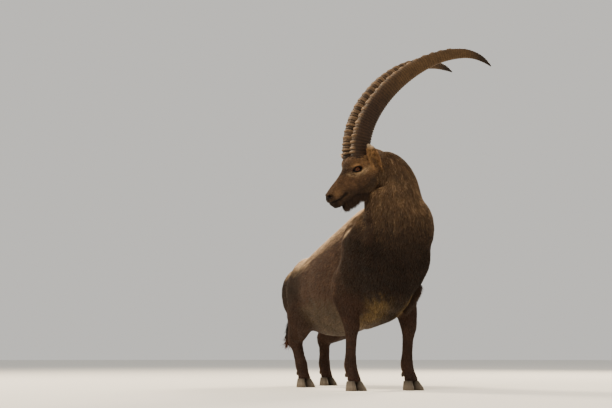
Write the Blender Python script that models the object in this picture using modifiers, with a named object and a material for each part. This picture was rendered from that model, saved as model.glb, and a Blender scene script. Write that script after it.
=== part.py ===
# Adult male alpine ibex, life size, standing with its head turned over its right shoulder
# The chest faces -Y, the animal's right side is -X, up is +Z, all lengths are in metres
import math
import random

import bmesh
import bpy
import numpy as np
from mathutils import Matrix, Vector

# Driving dimensions
GAP = 0.0003
BODY_VOXEL = 0.008
HEAD_VOXEL = 0.0038
BODY_FACES = 4420
HEAD_FACES = 2440
BODY_SOFTENING = 20
HEAD_SOFTENING = 8

# Trunk stations from chest to buttock: y, top, bottom, half width
TRUNK = (
    (-0.475, 0.640, 0.480, 0.080),
    (-0.430, 0.740, 0.385, 0.150),
    (-0.330, 0.830, 0.322, 0.178),
    (-0.170, 0.858, 0.292, 0.178),
    (0.000, 0.808, 0.266, 0.198),
    (0.150, 0.758, 0.248, 0.210),
    (0.290, 0.712, 0.268, 0.200),
    (0.400, 0.672, 0.345, 0.176),
    (0.490, 0.622, 0.390, 0.145),
    (0.548, 0.560, 0.420, 0.090),
)
# How much the upper part of a trunk section is drawn in towards the spine
TRUNK_TOP_PINCH = 0.38

# Neck stations from the chest up: x, y, z, half depth, half width, turn of the throat in degrees
NECK = (
    (0.000, -0.225, 0.590, 0.230, 0.180, 0),
    (0.034, -0.335, 0.735, 0.195, 0.194, 18),
    (0.012, -0.375, 0.845, 0.158, 0.140, 48),
    (-0.004, -0.388, 0.925, 0.132, 0.110, 78),
    (-0.034, -0.396, 0.974, 0.106, 0.090, 92),
    (-0.090, -0.400, 0.992, 0.088, 0.075, 94),
)

# Head frame: where the back of the skull is, how far the nose drops, how far the head turns
SKULL_BACK = Vector((-0.130, -0.400, 1.000))
NOSE_DROP = math.radians(35.0)
HEAD_TURN = math.radians(184.0)
# Head stations from poll to nose: distance forward, top, bottom, half width
HEAD = (
    (-0.085, 0.040, -0.060, 0.045),
    (-0.050, 0.066, -0.082, 0.062),
    (0.000, 0.080, -0.097, 0.067),
    (0.050, 0.084, -0.101, 0.064),
    (0.090, 0.078, -0.096, 0.054),
    (0.125, 0.052, -0.094, 0.044),
    (0.165, 0.036, -0.089, 0.036),
    (0.205, 0.025, -0.083, 0.033),
    (0.240, 0.014, -0.076, 0.034),
    (0.262, 0.004, -0.064, 0.030),
    (0.274, -0.006, -0.040, 0.016),
)
# Swellings on each side of the head: place (forward, out, up) and radii
HEAD_FORMS = (
    ((0.087, 0.0365, 0.023), (0.037, 0.0265, 0.027)),
    ((0.040, 0.0400, 0.055), (0.060, 0.0360, 0.035)),
    ((0.016, 0.0385, 0.026), (0.055, 0.0350, 0.052)),
    ((0.045, 0.034, -0.045), (0.066, 0.028, 0.046)),
    ((0.130, 0.030, -0.018), (0.062, 0.012, 0.024)),
    ((0.250, 0.016, -0.012), (0.020, 0.015, 0.018)),
    ((0.238, 0.014, -0.040), (0.034, 0.019, 0.014)),
    ((0.236, 0.010, -0.066), (0.026, 0.016, 0.013)),
)
EYE_PLACE = (0.088, 0.0365, 0.022)
EYE_RADIUS = 0.0180
LID_HALF_LENGTH = 0.0195
LID_HALF_HEIGHT = 0.0105
LID_POINTS = 16
LID_SLANT = 0.25
MOUTH_PLACE = (0.236, 0.030, -0.050)
MOUTH_RADII = (0.050, 0.016, 0.0022)
NOSTRIL_PLACE = (0.264, 0.017, -0.010)
NOSTRIL_RADII = (0.012, 0.009, 0.0052)
EAR_ROOT = (0.004, 0.072, -0.020)
EAR_LENGTH = 0.142
EAR_HALF_WIDTH = 0.026
EAR_THICKNESS = 0.004

# Horns: length along the curve, section at the base, how the curve turns along it, in radians
HORN_LENGTH = 0.99
HORN_HALF_DEPTH = 0.0425
HORN_HALF_WIDTH = 0.029
HORN_BASE = Vector((-0.176, -0.402, 0.970))
HORN_BASE_SPREAD = 0.036
HORN_RISE = 1.99
HORN_BEND = (4.67, -6.29, 4.00)
HORN_TURN = math.radians(2.7)
HORN_TILT = math.radians(4.7)
HORN_FLARE = math.radians(4.4)
HORN_TIP_FLARE = 0.053
HORN_LEAN = math.radians(2.3)
HORN_SUNK = 0.045
HORN_SIDES = 10
HORN_SQUARENESS = 0.75
KNOB_COUNT = 21
KNOB_FIRST = 0.085
KNOB_LAST = 0.780
KNOB_HEIGHT = 0.0075
TIP_RINGS = 6

# Leg joints for the right (-1) and left (+1) side
FORELEGS = {
    -1: {"elbow": (-0.150, -0.205, 0.465), "knee": (-0.141, -0.250, 0.285),
         "fetlock": (-0.140, -0.232, 0.112), "hoof": (-0.140, -0.268, 0.048)},
    1: {"elbow": (0.138, -0.235, 0.465), "knee": (0.135, -0.290, 0.285),
        "fetlock": (0.132, -0.272, 0.112), "hoof": (0.132, -0.308, 0.048)},
}
HINDLEGS = {
    -1: {"hip": (-0.085, 0.400, 0.560), "stifle": (-0.158, 0.235, 0.400), "hock": (-0.132, 0.385, 0.235),
         "fetlock": (-0.130, 0.318, 0.108), "hoof": (-0.130, 0.284, 0.046)},
    1: {"hip": (0.085, 0.420, 0.560), "stifle": (0.158, 0.290, 0.385), "hock": (0.112, 0.545, 0.250),
        "fetlock": (0.098, 0.520, 0.108), "hoof": (0.096, 0.486, 0.046)},
}
# Leg sections between the joints: share of the way, half depth, half width
FOREARM = ((0.0, 0.088, 0.064), (0.42, 0.066, 0.054), (0.80, 0.044, 0.040), (1.0, 0.039, 0.037))
FORE_CANNON = ((0.28, 0.028, 0.027), (0.68, 0.026, 0.025), (1.0, 0.032, 0.030))
THIGH = ((0.0, 0.120, 0.075), (0.5, 0.125, 0.078), (0.93, 0.085, 0.060))
SHANK = ((0.30, 0.104, 0.066), (0.68, 0.072, 0.048), (1.0, 0.047, 0.035))
HIND_CANNON = ((0.28, 0.034, 0.029), (0.66, 0.030, 0.027), (1.0, 0.034, 0.031))
PASTERN = ((0.62, 0.028, 0.028), (1.0, 0.029, 0.033))
CLAW_HALF_WIDTH = 0.0215
HOOF_TOP = 0.042

# Tail stations from root to the end of the flesh: x, y, z, radius
TAIL = (
    (0.000, 0.500, 0.575, 0.040),
    (-0.006, 0.556, 0.520, 0.030),
    (-0.028, 0.598, 0.440, 0.024),
    (-0.048, 0.622, 0.360, 0.016),
)
TAIL_LOCKS = 16
TUFT_END = 0.235
BEARD_LOCKS = 16
BEARD_LENGTH = 0.040

MATERIALS = {
    "coat": ((0.065, 0.042, 0.030), 0.85),
    "horn": ((0.085, 0.055, 0.036), 0.55),
    "hoof": ((0.120, 0.105, 0.090), 0.50),
    "eye": ((0.060, 0.022, 0.010), 0.08),
}


def clear_scene():
    for item in list(bpy.data.objects):
        bpy.data.objects.remove(item, do_unlink=True)


def material(name):
    made = bpy.data.materials.get(name)
    if made is None:
        colour, roughness = MATERIALS[name]
        made = bpy.data.materials.new(name)
        made.use_nodes = True
        shader = made.node_tree.nodes["Principled BSDF"]
        shader.inputs["Base Color"].default_value = (*colour, 1.0)
        shader.inputs["Roughness"].default_value = roughness
        shader.inputs["Metallic"].default_value = 0.0
    return made


def new_object(name, mesh, collection):
    made = bpy.data.objects.new(name, mesh)
    collection.objects.link(made)
    return made


# Turns the faces of a closed surface outwards
def face_outwards(bm):
    if bm.calc_volume(signed=True) < 0:
        bmesh.ops.reverse_faces(bm, faces=bm.faces)


def mesh_from_bmesh(name, bm):
    bmesh.ops.recalc_face_normals(bm, faces=bm.faces)
    face_outwards(bm)
    mesh = bpy.data.meshes.new(name)
    bm.to_mesh(mesh)
    bm.free()
    return mesh


# Smooth curve through stations
def spline(stations, count):
    points = np.array(stations, dtype=float)
    ends = np.vstack([2 * points[0] - points[1], points, 2 * points[-1] - points[-2]])
    spans = len(points) - 1
    rows = []
    for step in range(count):
        place = spans * step / (count - 1)
        index = min(int(place), spans - 1)
        t = place - index
        p0, p1, p2, p3 = ends[index:index + 4]
        rows.append(0.5 * (2 * p1 + (p2 - p0) * t + (2 * p0 - 5 * p1 + 4 * p2 - p3) * t ** 2
                           + (3 * p1 - p0 - 3 * p2 + p3) * t ** 3))
    return np.array(rows)


# Closed tube of rings, each ring a list of points, with a fan at both ends
def tube(name, rings, collection, tip=None):
    bm = bmesh.new()
    loops = [[bm.verts.new(point) for point in ring] for ring in rings]
    sides = len(loops[0])
    for below, above in zip(loops, loops[1:]):
        for i in range(sides):
            j = (i + 1) % sides
            bm.faces.new((below[i], below[j], above[j], above[i]))
    for loop, centre in ((loops[0], None), (loops[-1], tip)):
        if centre is None:
            centre = sum((vert.co for vert in loop), Vector()) / sides
        point = bm.verts.new(centre)
        for i in range(sides):
            bm.faces.new((loop[i], loop[(i + 1) % sides], point))
    return new_object(name, mesh_from_bmesh(name, bm), collection)


# Limb or neck: path with half depth, half width and the direction of its width at each ring
def limb(name, stations, collection, width_hint, count=24, sides=20):
    rows = spline(stations, count)
    path = rows[:, :3]
    tangents = np.gradient(path, axis=0)
    rings = []
    for index in range(count):
        along = Vector(tangents[index]).normalized()
        hint = width_hint(rows[index]) if callable(width_hint) else Vector(width_hint)
        wide = (hint - along * hint.dot(along)).normalized()
        deep = along.cross(wide)
        centre = Vector(path[index])
        half_depth, half_width = rows[index][3], rows[index][4]
        ring = []
        for side in range(sides):
            turn = 2 * math.pi * side / sides
            ring.append(centre + wide * (half_width * math.cos(turn))
                        + deep * (half_depth * math.sin(turn)))
        rings.append(ring)
    return tube(name, rings, collection)


def ellipsoid(name, centre, radii, collection, turn=(0, 0, 0), segments=20):
    bm = bmesh.new()
    bmesh.ops.create_uvsphere(bm, u_segments=segments, v_segments=segments // 2 + 2, radius=1.0)
    about_x = Matrix.Rotation(turn[0], 4, "X")
    about_y = Matrix.Rotation(turn[1], 4, "Y")
    about_z = Matrix.Rotation(turn[2], 4, "Z")
    bm.transform(Matrix.Translation(centre) @ about_z @ about_y @ about_x @ Matrix.Diagonal((*radii, 1.0)))
    return new_object(name, mesh_from_bmesh(name, bm), collection)


# Box whose near face stands at a point, facing up the limb, and which reaches down it
def cut_box(name, face_centre, outward, reach, half_x, half_y, collection, grow=0.0):
    outward = Vector(outward).normalized()
    bm = bmesh.new()
    bmesh.ops.create_cube(bm, size=1.0)
    bm.transform(Matrix.Diagonal((2 * (half_x + grow), 2 * (half_y + grow), reach + 2 * grow, 1.0)))
    bm.transform(Matrix.Translation((0, 0, -reach / 2)))
    turn = outward.to_track_quat("Z", "Y").to_matrix().to_4x4()
    bm.transform(Matrix.Translation(face_centre) @ turn)
    return new_object(name, mesh_from_bmesh(name, bm), collection)


def apply_modifiers(item):
    bpy.context.view_layer.update()
    evaluated = item.evaluated_get(bpy.context.evaluated_depsgraph_get())
    mesh = bpy.data.meshes.new_from_object(evaluated)
    item.modifiers.clear()
    item.data = mesh


# Keeps only the largest closed surface of an object, with its faces pointing out
def keep_largest(item):
    bm = bmesh.new()
    bm.from_mesh(item.data)
    left = set(bm.faces)
    groups = []
    while left:
        first = left.pop()
        group = [first]
        stack = [first]
        while stack:
            face = stack.pop()
            for edge in face.edges:
                for other in edge.link_faces:
                    if other in left:
                        left.remove(other)
                        group.append(other)
                        stack.append(other)
        groups.append(group)
    groups.sort(key=lambda group: sum(face.calc_area() for face in group), reverse=True)
    for group in groups[1:]:
        bmesh.ops.delete(bm, geom=group, context="FACES")
    loose = [vert for vert in bm.verts if not vert.link_faces]
    bmesh.ops.delete(bm, geom=loose, context="VERTS")
    bmesh.ops.triangulate(bm, faces=bm.faces)
    face_outwards(bm)
    bm.to_mesh(item.data)
    bm.free()


def boolean(item, cutter, operation, solver="MANIFOLD"):
    step = item.modifiers.new("cut", "BOOLEAN")
    step.operation = operation
    step.solver = solver
    step.object = cutter
    apply_modifiers(item)
    keep_largest(item)


def union_all(item, pieces):
    group = bpy.data.collections.new(item.name + "_pieces")
    bpy.context.scene.collection.children.link(group)
    for piece in pieces:
        for owner in list(piece.users_collection):
            owner.objects.unlink(piece)
        group.objects.link(piece)
    step = item.modifiers.new("join", "BOOLEAN")
    step.operation = "UNION"
    step.solver = "EXACT"
    step.operand_type = "COLLECTION"
    step.collection = group
    apply_modifiers(item)
    keep_largest(item)
    for piece in pieces:
        bpy.data.objects.remove(piece, do_unlink=True)
    bpy.data.collections.remove(group)


def copy_of(item, name, collection):
    made = item.copy()
    made.data = item.data.copy()
    made.name = name
    collection.objects.link(made)
    return made


# Copy of an object whose surface stands out by the gap, to cut what grows from it
def swollen_copy(item, collection, amount=GAP):
    made = copy_of(item, item.name + "_swollen", collection)
    bm = bmesh.new()
    bm.from_mesh(made.data)
    bm.normal_update()
    moves = [vert.normal * amount * vert.calc_shell_factor() for vert in bm.verts]
    for vert, move in zip(bm.verts, moves):
        vert.co += move
    bm.to_mesh(made.data)
    bm.free()
    return made


# One soft surface over overlapping pieces
def fuse_flesh(name, pieces, voxel, faces, collection, smooth):
    bm = bmesh.new()
    for piece in pieces:
        bm.from_mesh(piece.data)
    mesh = bpy.data.meshes.new(name)
    bm.to_mesh(mesh)
    bm.free()
    made = new_object(name, mesh, collection)
    remesh = made.modifiers.new("skin", "REMESH")
    remesh.mode = "VOXEL"
    remesh.voxel_size = voxel
    soften = made.modifiers.new("soften", "SMOOTH")
    soften.factor = 0.5
    soften.iterations = smooth
    apply_modifiers(made)
    thin = made.modifiers.new("thin", "DECIMATE")
    thin.ratio = faces / (2.0 * len(made.data.polygons))
    apply_modifiers(made)
    keep_largest(made)
    return made


# Parts a node off a body with a thin cut; returns the node
def split_off(body, name, face_centre, outward, reach, half_x, half_y, parts, cutters):
    node = copy_of(body, name, parts)
    inner = cut_box("inner", face_centre, outward, reach, half_x, half_y, cutters)
    outer = cut_box("outer", face_centre, outward, reach, half_x, half_y, cutters, grow=GAP)
    boolean(node, inner, "INTERSECT")
    boolean(body, outer, "DIFFERENCE")
    for cutter in (inner, outer):
        bpy.data.objects.remove(cutter, do_unlink=True)
    return node


# Trunk section: an egg that narrows towards the spine
def trunk(collection):
    rows = spline(TRUNK, 40)
    rings = []
    for y, top, bottom, half_width in rows:
        middle = 0.5 * (top + bottom)
        half_height = 0.5 * (top - bottom)
        ring = []
        for side in range(28):
            turn = 2 * math.pi * side / 28
            rise = math.sin(turn)
            pinch = 1.0 - TRUNK_TOP_PINCH * max(rise, 0.0) ** 1.5
            ring.append(Vector((half_width * math.cos(turn) * pinch, y, middle + half_height * rise)))
        rings.append(ring)
    return tube("trunk", rings, collection)


def neck(collection):
    def width_hint(row):
        turn = math.radians(row[5])
        return Vector((math.cos(turn), -math.sin(turn), 0.0))
    return limb("neck_core", NECK, collection, width_hint, count=30, sides=24)


def between(a, b, t):
    return Vector(a).lerp(Vector(b), t)


# Stations of one stretch of a leg between two joints
def stretch(upper, lower, sections):
    return [(*between(upper, lower, share), depth, width) for share, depth, width in sections]


def foreleg(side, collection):
    joints = FORELEGS[side]
    elbow, knee, fetlock, hoof = (Vector(joints[name]) for name in ("elbow", "knee", "fetlock", "hoof"))
    stations = [
        (elbow.x - side * 0.032, elbow.y - 0.110, 0.660, 0.120, 0.072),
        (elbow.x - side * 0.014, elbow.y - 0.075, 0.550, 0.098, 0.066),
        *stretch(elbow, knee, FOREARM),
        *stretch(knee, fetlock, FORE_CANNON),
        *stretch(fetlock, hoof, PASTERN),
        (hoof.x, hoof.y - 0.008, HOOF_TOP - 0.024, 0.029, 0.033),
    ]
    return limb("foreleg", stations, collection, (1, 0, 0), count=44, sides=16)


def hindleg(side, collection):
    joints = HINDLEGS[side]
    hip, stifle, hock, fetlock, hoof = (Vector(joints[name])
                                        for name in ("hip", "stifle", "hock", "fetlock", "hoof"))
    rear = Vector((0, 0.02, 0.03))
    heel = Vector((0, 0.012, 0.004))
    stations = [
        (*(hip + rear), *THIGH[0][1:]),
        *stretch(hip, stifle, THIGH[1:]),
        *stretch(stifle, hock, SHANK[:-1]),
        (*(hock + heel), *SHANK[-1][1:]),
        *stretch(hock, fetlock, HIND_CANNON),
        *stretch(fetlock, hoof, PASTERN),
        (hoof.x, hoof.y - 0.008, HOOF_TOP - 0.024, 0.029, 0.033),
    ]
    return limb("hindleg", stations, collection, (1, 0, 0), count=48, sides=16)


def muscles(collection):
    pieces = []
    for side in (-1, 1):
        shift = FORELEGS[side]["elbow"][1] + 0.22
        pieces.append(ellipsoid("shoulder", (side * 0.118, -0.315 + shift, 0.672), (0.080, 0.130, 0.175),
                                collection, turn=(math.radians(-18), math.radians(side * -10), 0)))
        pieces.append(ellipsoid("upper_arm", (side * 0.124, -0.345 + shift, 0.590), (0.064, 0.110, 0.120),
                                collection, turn=(math.radians(20), 0, 0)))
        hip = Vector(HINDLEGS[side]["hip"])
        pieces.append(ellipsoid("haunch", (side * 0.100, hip.y + 0.040, 0.490), (0.072, 0.122, 0.150),
                                collection, turn=(math.radians(12), 0, 0)))
    pieces.append(ellipsoid("brisket", (0, -0.385, 0.455), (0.105, 0.090, 0.110), collection))
    pieces.append(ellipsoid("rump", (0, 0.430, 0.562), (0.125, 0.130, 0.095), collection,
                            turn=(math.radians(-20), 0, 0)))
    return pieces


def head_frame():
    turn = Matrix.Rotation(HEAD_TURN, 4, "Z") @ Matrix.Rotation(NOSE_DROP, 4, "Y")
    return Matrix.Translation(SKULL_BACK) @ turn


def skull(collection):
    frame = head_frame()
    rows = spline(HEAD, 34)
    rings = []
    for forward, top, bottom, half_width in rows:
        middle = 0.5 * (top + bottom)
        half_height = 0.5 * (top - bottom)
        ring = []
        for index in range(24):
            turn = 2 * math.pi * index / 24
            across, rise = math.cos(turn), math.sin(turn)
            jaw = 1.0 - 0.25 * max(-rise, 0.0)
            out = half_width * jaw * math.copysign(abs(across) ** 0.85, across)
            height = middle + half_height * math.copysign(abs(rise) ** 0.85, rise)
            ring.append(frame @ Vector((forward, out, height)))
        rings.append(ring)
    return tube("skull", rings, collection)


# Brow, cheek and lip swellings of the head
def head_forms(collection):
    frame = head_frame()
    turn = frame.to_euler()
    forms = []
    for side in (-1, 1):
        for (ahead, out, rise), radii in HEAD_FORMS:
            forms.append(ellipsoid("head_form", frame @ Vector((ahead, side * out, rise)), radii,
                                   collection, turn=tuple(turn), segments=14))
    return forms


def eye_place(side):
    forward, across, rise = EYE_PLACE
    return head_frame() @ Vector((forward, side * across, rise))


# Almond-shaped prism that opens the lids in front of an eyeball
def lid_opening(side, collection):
    frame = head_frame()
    centre = eye_place(side)
    outward = (frame.to_3x3() @ Vector((0.16, side * 1.0, 0.10))).normalized()
    forward = frame.to_3x3() @ Vector((1.0, 0.0, LID_SLANT))
    forward = (forward - outward * forward.dot(outward)).normalized()
    up = forward.cross(outward) * (-1.0 if forward.cross(outward).z < 0 else 1.0)
    rings = []
    for depth, flare in ((0.002, 0.90), (EYE_RADIUS, 1.0), (EYE_RADIUS + 0.030, 1.30)):
        ring = []
        for index in range(LID_POINTS):
            turn = 2 * math.pi * index / LID_POINTS
            high = LID_HALF_HEIGHT * math.sin(turn) * abs(math.sin(turn)) ** 0.35
            ring.append(centre + outward * depth
                        + (forward * (LID_HALF_LENGTH * math.cos(turn)) + up * high) * flare)
        rings.append(ring)
    return tube("lid_opening", rings, collection)


# Pointed cup of an ear, open to the side and front
def ear(side, parts):
    frame = head_frame()
    root = frame @ Vector((EAR_ROOT[0], side * EAR_ROOT[1], EAR_ROOT[2]))
    along = frame.to_3x3() @ Vector((0.64, side * 0.30, 0.0)) + Vector((0.0, 0.0, 1.16))
    along.normalize()
    opening = frame.to_3x3() @ Vector((0.30, side * 1.0, -0.05))
    opening = (opening - along * opening.dot(along)).normalized()
    across = along.cross(opening)
    bend = frame.to_3x3() @ Vector((0.018, 0.0, 0.004))
    rows, columns = 10, 8
    bm = bmesh.new()
    grid = []
    for row in range(rows):
        t = row / (rows - 1)
        reach = EAR_LENGTH * (t - 0.16)
        half = EAR_HALF_WIDTH * (0.50 + 0.95 * t) * (1.0 - t ** 3.0) ** 0.75 + 0.002
        curl = math.radians(100 - 42 * t)
        line = []
        for column in range(columns):
            angle = curl * (2 * column / (columns - 1) - 1)
            radius = half / math.sin(min(curl, math.pi / 2))
            point = (root + along * reach + across * (radius * math.sin(angle))
                     - opening * (radius * (math.cos(angle) - math.cos(curl)))
                     + opening * (0.010 * t * t) + bend * t ** 2)
            line.append(bm.verts.new(point))
        grid.append(line)
    for row in range(rows - 1):
        for column in range(columns - 1):
            near, far = grid[row], grid[row + 1]
            bm.faces.new((near[column], near[column + 1], far[column + 1], far[column]))
    made = new_object("ear_left" if side > 0 else "ear_right", mesh_from_bmesh("ear", bm), parts)
    thick = made.modifiers.new("thickness", "SOLIDIFY")
    thick.thickness = EAR_THICKNESS
    thick.offset = 0.0
    apply_modifiers(made)
    keep_largest(made)
    return made


# Point on the centre line of a horn, with its direction in the plane of the curve
def horn_path(side, count):
    steps = [index / (count - 1) for index in range(count)]
    first, second, third = HORN_BEND
    angles = [HORN_RISE - (first * q + second * q ** 2 + third * q ** 3) for q in steps]
    length = HORN_LENGTH / (count - 1)
    back, up = 0.0, 0.0
    path = []
    turn = Matrix.Rotation(HORN_TURN, 3, "Z") @ Matrix.Rotation(HORN_TILT, 3, "X")
    for index, (q, angle) in enumerate(zip(steps, angles)):
        if index:
            middle = 0.5 * (angle + angles[index - 1])
            back += math.cos(middle) * length
            up += math.sin(middle) * length
        out = HORN_BASE_SPREAD + back * math.sin(HORN_FLARE) + up * math.sin(HORN_LEAN)
        out += HORN_TIP_FLARE * q ** 3
        local = Vector((back * math.cos(HORN_FLARE), -side * out, up * math.cos(HORN_LEAN)))
        place = HORN_BASE + turn @ local
        front = turn @ Vector((-math.sin(angle), 0, math.cos(angle)))
        path.append((q, place, front))
    return path


# Knobs stand across the front of a horn, close together at the base and wider apart towards the tip
def knob_places():
    places = []
    for index in range(KNOB_COUNT):
        t = index / (KNOB_COUNT - 1)
        places.append(KNOB_FIRST + (KNOB_LAST - KNOB_FIRST) * t ** 1.25)
    return places


def horn(side, parts):
    knobs = knob_places()
    fractions = [HORN_SUNK]
    beyond = 2 * knobs[-1] - knobs[-2]
    for knob, after in zip(knobs, [*knobs[1:], beyond]):
        reach = 0.5 * (after - knob)
        fractions += [knob - 0.22 * reach, knob + 0.22 * reach, knob + reach]
    last = fractions[-1]
    fractions += [last + (1.0 - last) * step / TIP_RINGS for step in range(1, TIP_RINGS + 1)]
    fine = horn_path(side, 400)
    rings = []
    for number, q in enumerate(fractions):
        index = min(int(round(q * 399)), 398)
        place, front = fine[index][1], fine[index][2]
        along = (fine[index + 1][1] - fine[max(index - 1, 0)][1]).normalized()
        front = (front - along * front.dot(along)).normalized()
        wide = along.cross(front)
        shrink = (1.0 - q ** 2.3) ** 0.8
        half_depth = HORN_HALF_DEPTH * shrink + 0.003
        half_width = HORN_HALF_WIDTH * (0.35 + 0.65 * shrink) * (1.0 - q ** 6) + 0.002
        on_knob = 0 < number <= 3 * KNOB_COUNT and (number - 1) % 3 < 2
        raised = KNOB_HEIGHT * (1.0 if on_knob else 0.0) * (1.0 - 0.55 * q)
        ring = []
        for step in range(HORN_SIDES):
            angle = 2 * math.pi * step / HORN_SIDES
            ahead, aside = math.cos(angle), math.sin(angle)
            bar = min(max((ahead - 0.30) / 0.40, 0.0), 1.0)
            depth = half_depth - 0.35 * KNOB_HEIGHT * shrink + raised * bar
            width = half_width + 0.25 * raised * bar
            ring.append(place + front * (depth * math.copysign(abs(ahead) ** HORN_SQUARENESS, ahead))
                        + wide * (width * math.copysign(abs(aside) ** HORN_SQUARENESS, aside)))
        rings.append(ring)
    end = fine[-1][1]
    tip = end + (end - fine[-3][1]).normalized() * 0.006
    return tube("horn_left" if side > 0 else "horn_right", rings, parts, tip=tip)


# Two claws joined at the heel, with flat soles on the floor
def hoof(name, joints, parts, cutters):
    top = Vector(joints["hoof"])
    claws = []
    for claw_side in (-1, 1):
        rings = []
        for z, forward, half_length, half_width, spread in (
            (0.0, 0.022, 0.0400, CLAW_HALF_WIDTH, 0.0265),
            (0.014, 0.018, 0.0375, CLAW_HALF_WIDTH * 0.97, 0.0245),
            (0.030, 0.008, 0.0320, CLAW_HALF_WIDTH * 0.88, 0.0205),
            (HOOF_TOP, 0.002, 0.0290, CLAW_HALF_WIDTH * 0.82, 0.0170),
        ):
            ring = []
            for step in range(10):
                angle = 2 * math.pi * step / 10
                toe = math.cos(angle)
                point = 1.0 - 0.25 * max(toe, 0.0)
                ring.append(Vector((top.x + claw_side * spread + half_width * point * math.sin(angle),
                                    top.y - forward - half_length * toe, z)))
            rings.append(ring)
        claws.append(tube("claw", rings, cutters))
    heel = ellipsoid("heel", (top.x, top.y + 0.010, 0.021), (0.024, 0.016, 0.0185), cutters, segments=8)
    made = claws[0]
    made.name = name
    cutters.objects.unlink(made)
    parts.objects.link(made)
    union_all(made, [claws[1], heel])
    return made


# Tapered lock of hair that bends along its way
def lock(root, direction, bend, length, width, thickness, collection, rings=4, sides=5):
    direction = Vector(direction).normalized()
    bend = Vector(bend)
    rows = []
    for index in range(rings):
        t = index / rings
        centre = Vector(root) + direction * (length * t) + bend * (length * t * t)
        along = (direction + bend * (2 * t)).normalized()
        wide = along.cross(Vector((0.31, 0.87, 0.12))).normalized()
        deep = along.cross(wide)
        size = (1.0 - t) ** 0.7 * (0.75 + 0.9 * t)
        row = []
        for side in range(sides):
            turn = 2 * math.pi * side / sides
            row.append(centre + wide * (width * size * math.cos(turn))
                       + deep * (thickness * size * math.sin(turn)))
        rows.append(row)
    tip = Vector(root) + direction * length + bend * length
    return tube("lock", rows, collection, tip=tip)


# Line of the mouth and the slits of the nostrils
def carve_face(head, cutters):
    frame = head_frame()
    turn = tuple(frame.to_euler())
    for side in (-1, 1):
        cuts = []
        for name, (ahead, out, rise), radii in (("mouth", MOUTH_PLACE, MOUTH_RADII),
                                                ("nostril", NOSTRIL_PLACE, NOSTRIL_RADII)):
            cuts.append(ellipsoid(name, frame @ Vector((ahead, side * out, rise)), radii, cutters,
                                  turn=turn, segments=14))
        for cut in cuts:
            boolean(head, cut, "DIFFERENCE")
            bpy.data.objects.remove(cut, do_unlink=True)


# Short chin beard of tapered locks that hang down and back
def beard(cutters):
    frame = head_frame()
    locks = []
    for index in range(BEARD_LOCKS):
        t = index / (BEARD_LOCKS - 1)
        across = (-0.012, 0.0, 0.012)[index % 3] + random.uniform(-0.003, 0.003)
        root = frame @ Vector((0.134 + 0.066 * t, across, -0.082 + 0.006 * t))
        down = Vector((0.10 + random.uniform(-0.15, 0.15), across * 6, -1.0))
        length = BEARD_LENGTH * (0.85 + 0.3 * random.random()) * (1.0 - 0.9 * (t - 0.45) ** 2)
        locks.append(lock(root, down, (0.22, 0.0, 0.0), length, 0.0125, 0.0090, cutters))
    return locks


# Brush of tapered locks round the end of the tail
def tail_tuft(cutters):
    end = Vector(TAIL[-1][:3])
    above = Vector(TAIL[-2][:3])
    along = (end - above).normalized()
    locks = []
    for index in range(TAIL_LOCKS):
        turn = 2.399 * index
        t = index / (TAIL_LOCKS - 1)
        out = Vector((math.cos(turn), math.sin(turn) * 0.5, 0.0))
        root = above.lerp(end, 0.42 + 0.50 * t) + out * 0.007
        reach = TUFT_END - root.z
        down = along * 0.7 + Vector((0, 0, -0.7)) + out * 0.10
        length = abs(reach) * (0.72 + 0.28 * random.random())
        locks.append(lock(root, down, out * -0.06 + Vector((0, 0, -0.10)), length, 0.0120, 0.0085, cutters))
    return locks


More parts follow.
